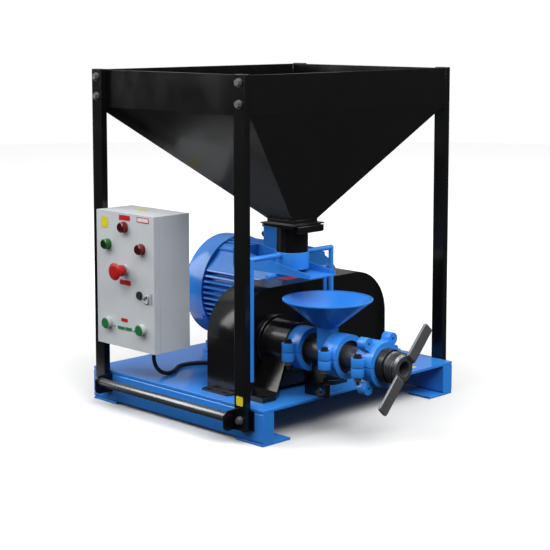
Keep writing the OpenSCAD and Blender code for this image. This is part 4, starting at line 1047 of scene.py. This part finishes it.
class EXTRUDER_OT_clamp_bolts(bpy.types.Operator):
    """Sets the clamps' bolts with nuts and thread ends below"""

    bl_idname = "extruder.clamp_bolts"
    bl_label = "Clamp bolts"

    def execute(self, context):
        size = context.scene.extruder_fasteners
        ear_x, ear_end, clamp_ys = 0.070, 0.02375, (-0.295, -0.425, -0.538)
        ears = [(SCREW_X + side * ear_x, y) for y in clamp_ys for side in SIDES]
        above = [(at(x, y, SCREW_Z + ear_end), UP) for x, y in ears]
        below = [(at(x, y, SCREW_Z - ear_end), DOWN) for x, y in ears]
        nut, washer = 0.0085, 0.002
        bolts("clamp_bolt_heads", above, size.clamp_bolt, height=0.0068,
              material="bolt_black")
        bolts("clamp_bolt_nuts", below, size.clamp_bolt, height=nut,
              material="zinc_plate")

        ridge, root, pitch, length, chamfer = 0.0050, 0.0043, 0.0015, 0.0105, 0.001
        profile = [(0.0, -chamfer), (root, -chamfer)]
        for k in range(int(length / pitch)):
            profile += [(root, k * pitch), (ridge, (k + 0.5) * pitch)]
        profile += [(root, length), (root - chamfer, length + chamfer), (0.0, length + chamfer)]
        bm = bmesh.new()
        for point, direction in below:
            end = point + Vector(direction) * (nut + washer)
            turned(bm, profile, facing(end, direction), steps=20)
        new_piece("clamp_stud_ends", bm, "bolt_black", "machine", smooth=50.0)
        return {"FINISHED"}


class EXTRUDER_OT_die_thread(bpy.types.Operator):
    """Cuts the thread on the die's turning ring, over a black sleeve that paints shade into the
    thread's valleys
    """

    bl_idname = "extruder.die_thread"
    bl_label = "Die thread"

    def execute(self, context):
        pitch = context.scene.extruder_fasteners.thread_pitch
        ring_y, bore_r, root_r, root_length = -0.5945, 0.0370, 0.0382, 0.0300
        run_in, length = 0.0016, 0.0285
        start = facing(at(SCREW_X, ring_y, SCREW_Z), FRONT)
        # Black sleeve under the ridges: painted shade in the thread's valleys
        bm = bmesh.new()
        turned(bm, [(bore_r, 0.0), (root_r, 0.0), (root_r, root_length), (bore_r, root_length),
                    (bore_r, 0.0)], start, steps=72)
        new_piece("painted_shade_thread_root", bm, "die_black", "adjuster")
        start.translation += Vector(FRONT) * run_in
        thread("ring_thread", start, root_r, length, pitch, "thread_steel", "adjuster")
        return {"FINISHED"}


class EXTRUDER_OT_lenses(bpy.types.Operator):
    """Puts ribbed lens faces on the door's lamps"""

    bl_idname = "extruder.lenses"
    bl_label = "Lens faces"

    def execute(self, context):
        # Each lamp's y and z on the door, and its colour
        lamps = {"top": (DOOR_Y, 0.520, "red"), "left": (0.2155, 0.467, "green"),
                 "right": (0.0715, 0.467, "red")}
        face_r, back, rim = 0.0121, 0.0162, 0.0171
        ribs, rib_r, rib_w, crest, groove = 6, 0.0115, 0.0009, 0.0180, 0.0176
        profile = [(0.0, back), (face_r, back), (face_r, rim)]
        for k in range(ribs, 0, -1):
            r = rib_r * k / ribs
            profile += [(r, crest), (r - rib_w, groove)]
        profile.append((0.0, crest))
        for name, (y, z, colour) in lamps.items():
            bm = bmesh.new()
            turned(bm, profile, facing(at(DOOR_FACE, y, z), LEFT), steps=36)
            new_piece("lens_face_" + name, bm, f"dark_{colour}_lens", "door",
                      smooth=50.0)
        return {"FINISHED"}


class EXTRUDER_OT_door_seal(bpy.types.Operator):
    """Lays the seal round the cabinet's opening, behind the door"""

    bl_idname = "extruder.door_seal"
    bl_label = "Door seal"

    def execute(self, context):
        box_front, proud = -0.408, 0.0015
        outer = rounded_outline(w=0.2424, h=0.3714, r=0.001, steps=4)
        inner = rounded_outline(w=0.2320, h=0.3610, r=0.002, steps=4)
        opening = facing(at(box_front, DOOR_Y, DOOR_Z), LEFT)
        bm = bmesh.new()
        rings = [[bm.verts.new(opening @ Vector((x, y, h))) for x, y in outline]
                 for outline, h in ((outer, -SINK), (outer, proud), (inner, proud), (inner, -SINK))]
        skin(bm, rings + rings[:1])
        new_piece("door_seal", bm, "grey_paint", "machine")
        return {"FINISHED"}


class EXTRUDER_OT_padlock_eye(bpy.types.Operator):
    """Sets the wire eye and the strip beside the lock"""

    bl_idname = "extruder.padlock_eye"
    bl_label = "Padlock eye"

    def execute(self, context):
        wire_r, wire_out, steps = 0.0021, 0.0022, 4
        # Corners of the wire: y and z on the door
        corners = ((0.0655, 0.3290), (0.0640, 0.3330), (0.0520, 0.3420), (0.0470, 0.3420),
                   (0.0455, 0.3380), (0.0455, 0.3270), (0.0475, 0.3230), (0.0530, 0.3220),
                   (0.0620, 0.3250))
        eye = [at(DOOR_FACE - wire_out, y, z) for y, z in corners]
        bm = bmesh.new()
        loop = smooth_path(eye[-1:] + eye + eye[:2], steps)[steps:-steps - 1]
        wire_loop(bm, loop, wire_r)
        strip_y, strip_z, strip_w, strip_h, strip_r, proud = (
            0.0335, 0.3360, 0.0045, 0.030, 0.0015, 0.0028)
        add_prism(bm, rounded_outline(strip_w, strip_h, strip_r), -SINK, proud,
                  facing(at(DOOR_FACE, strip_y, strip_z), LEFT))
        new_piece("padlock_eye", bm, "dull_zinc", "door", smooth=50.0)
        return {"FINISHED"}


class EXTRUDER_OT_gland_ribs(bpy.types.Operator):
    """Puts ribs round both cable glands"""

    bl_idname = "extruder.gland_ribs"
    bl_label = "Gland ribs"

    def execute(self, context):
        reach = 0.0125
        glands = {"cabinet": (CABINET_GLAND, DOWN), "motor": (MOTOR_GLAND, REAR)}
        for name, (place, out) in glands.items():
            start = at(*(p + reach * d for p, d in zip(place, out)))
            rib_ring(name + "_gland_ribs", facing(start, out), count=18, radius=0.0094,
                     length=0.0085, rib=0.0009, material="black_plastic", body="machine")
        return {"FINISHED"}


class EXTRUDER_OT_plates(bpy.types.Operator):
    """Puts plain coloured plates on the cabinet, post, guard and deck"""

    bl_idname = "extruder.plates"
    bl_label = "Plain plates"

    def execute(self, context):
        def plate(name, place, size, colour, normal=LEFT, body="door", corner=0.002, proud=0.0007):
            bm = bmesh.new()
            add_prism(bm, rounded_outline(*size, corner), -SINK, proud, facing(at(*place), normal))
            new_piece("plate_" + name, bm, "label_" + colour, body)

        # Each plate's place, then its width and height
        plate("over_top_lamp", (DOOR_FACE, 0.1433, 0.5454), (0.046, 0.0138), "red")
        plate("right_border", (DOOR_FACE, 0.0664, 0.5458), (0.049, 0.0145), "red")
        plate("right_field", (DOOR_FACE, 0.0664, 0.5458), (0.044, 0.0100), "white", proud=0.0011)
        plate("left_top", (DOOR_FACE, 0.2296, 0.5260), (0.030, 0.0300), "yellow", corner=0.004)
        plate("under_stop", (DOOR_FACE, 0.1433, 0.3678), (0.047, 0.0130), "red")
        plate("low_red", (DOOR_FACE, 0.1480, 0.2629), (0.0285, 0.0096), "red")
        plate("low_green_left", (DOOR_FACE, 0.1622, 0.2391), (0.0300, 0.0090), "green")
        plate("low_green_right", (DOOR_FACE, 0.1304, 0.2400), (0.0285, 0.0090), "green")
        plate("low_dot_left", (DOOR_FACE, 0.1905, 0.2402), (0.0045, 0.0045), "dark")
        plate("low_dot_right", (DOOR_FACE, 0.1066, 0.2375), (0.0045, 0.0045), "dark")
        plate("cabinet_top", (-0.356, 0.162, 0.558), (0.022, 0.040), "yellow", UP, "machine")
        plate("post", (-POST_OUT, -POST_Y, 0.1130), (0.024, 0.0240), "yellow", body="machine",
              corner=0.003)
        plate("guard_top", (-0.052, -0.110, 0.364), (0.060, 0.034), "red", UP, "machine")
        plate("deck", (0.249, -0.312, DECK_TOP), (0.016, 0.014), "yellow", UP, "machine")
        return {"FINISHED"}


class EXTRUDER_PT_panel(bpy.types.Panel):
    """Lists the settings and the machine's pieces"""

    bl_label = "Feed pellet extruder"
    bl_idname = "EXTRUDER_PT_panel"
    bl_space_type = "VIEW_3D"
    bl_region_type = "UI"
    bl_category = "Extruder"

    def draw(self, context):
        column = self.layout.column()
        for group in (context.scene.extruder_colours, context.scene.extruder_fasteners):
            for key in group.__annotations__:
                column.prop(group, key)
        for step in STEPS:
            column.operator(step.bl_idname)


STEPS = (
    EXTRUDER_OT_finishes, EXTRUDER_OT_studio, EXTRUDER_OT_cable, EXTRUDER_OT_edges,
    EXTRUDER_OT_frame_bolts, EXTRUDER_OT_motor_bolts, EXTRUDER_OT_clamp_bolts,
    EXTRUDER_OT_die_thread, EXTRUDER_OT_lenses, EXTRUDER_OT_door_seal, EXTRUDER_OT_padlock_eye,
    EXTRUDER_OT_gland_ribs, EXTRUDER_OT_plates,
)
CLASSES = (ExtruderColours, ExtruderFasteners, *STEPS, EXTRUDER_PT_panel)


def register():
    for cls in CLASSES:
        bpy.utils.register_class(cls)
    bpy.types.Scene.extruder_colours = bpy.props.PointerProperty(type=ExtruderColours)
    bpy.types.Scene.extruder_fasteners = bpy.props.PointerProperty(type=ExtruderFasteners)


def unregister():
    del bpy.types.Scene.extruder_fasteners
    del bpy.types.Scene.extruder_colours
    for cls in reversed(CLASSES):
        bpy.utils.unregister_class(cls)


def main():
    """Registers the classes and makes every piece."""
    register()
    for step in STEPS:
        group, name = step.bl_idname.split(".")
        getattr(getattr(bpy.ops, group), name)()


if __name__ == "__main__":
    main()
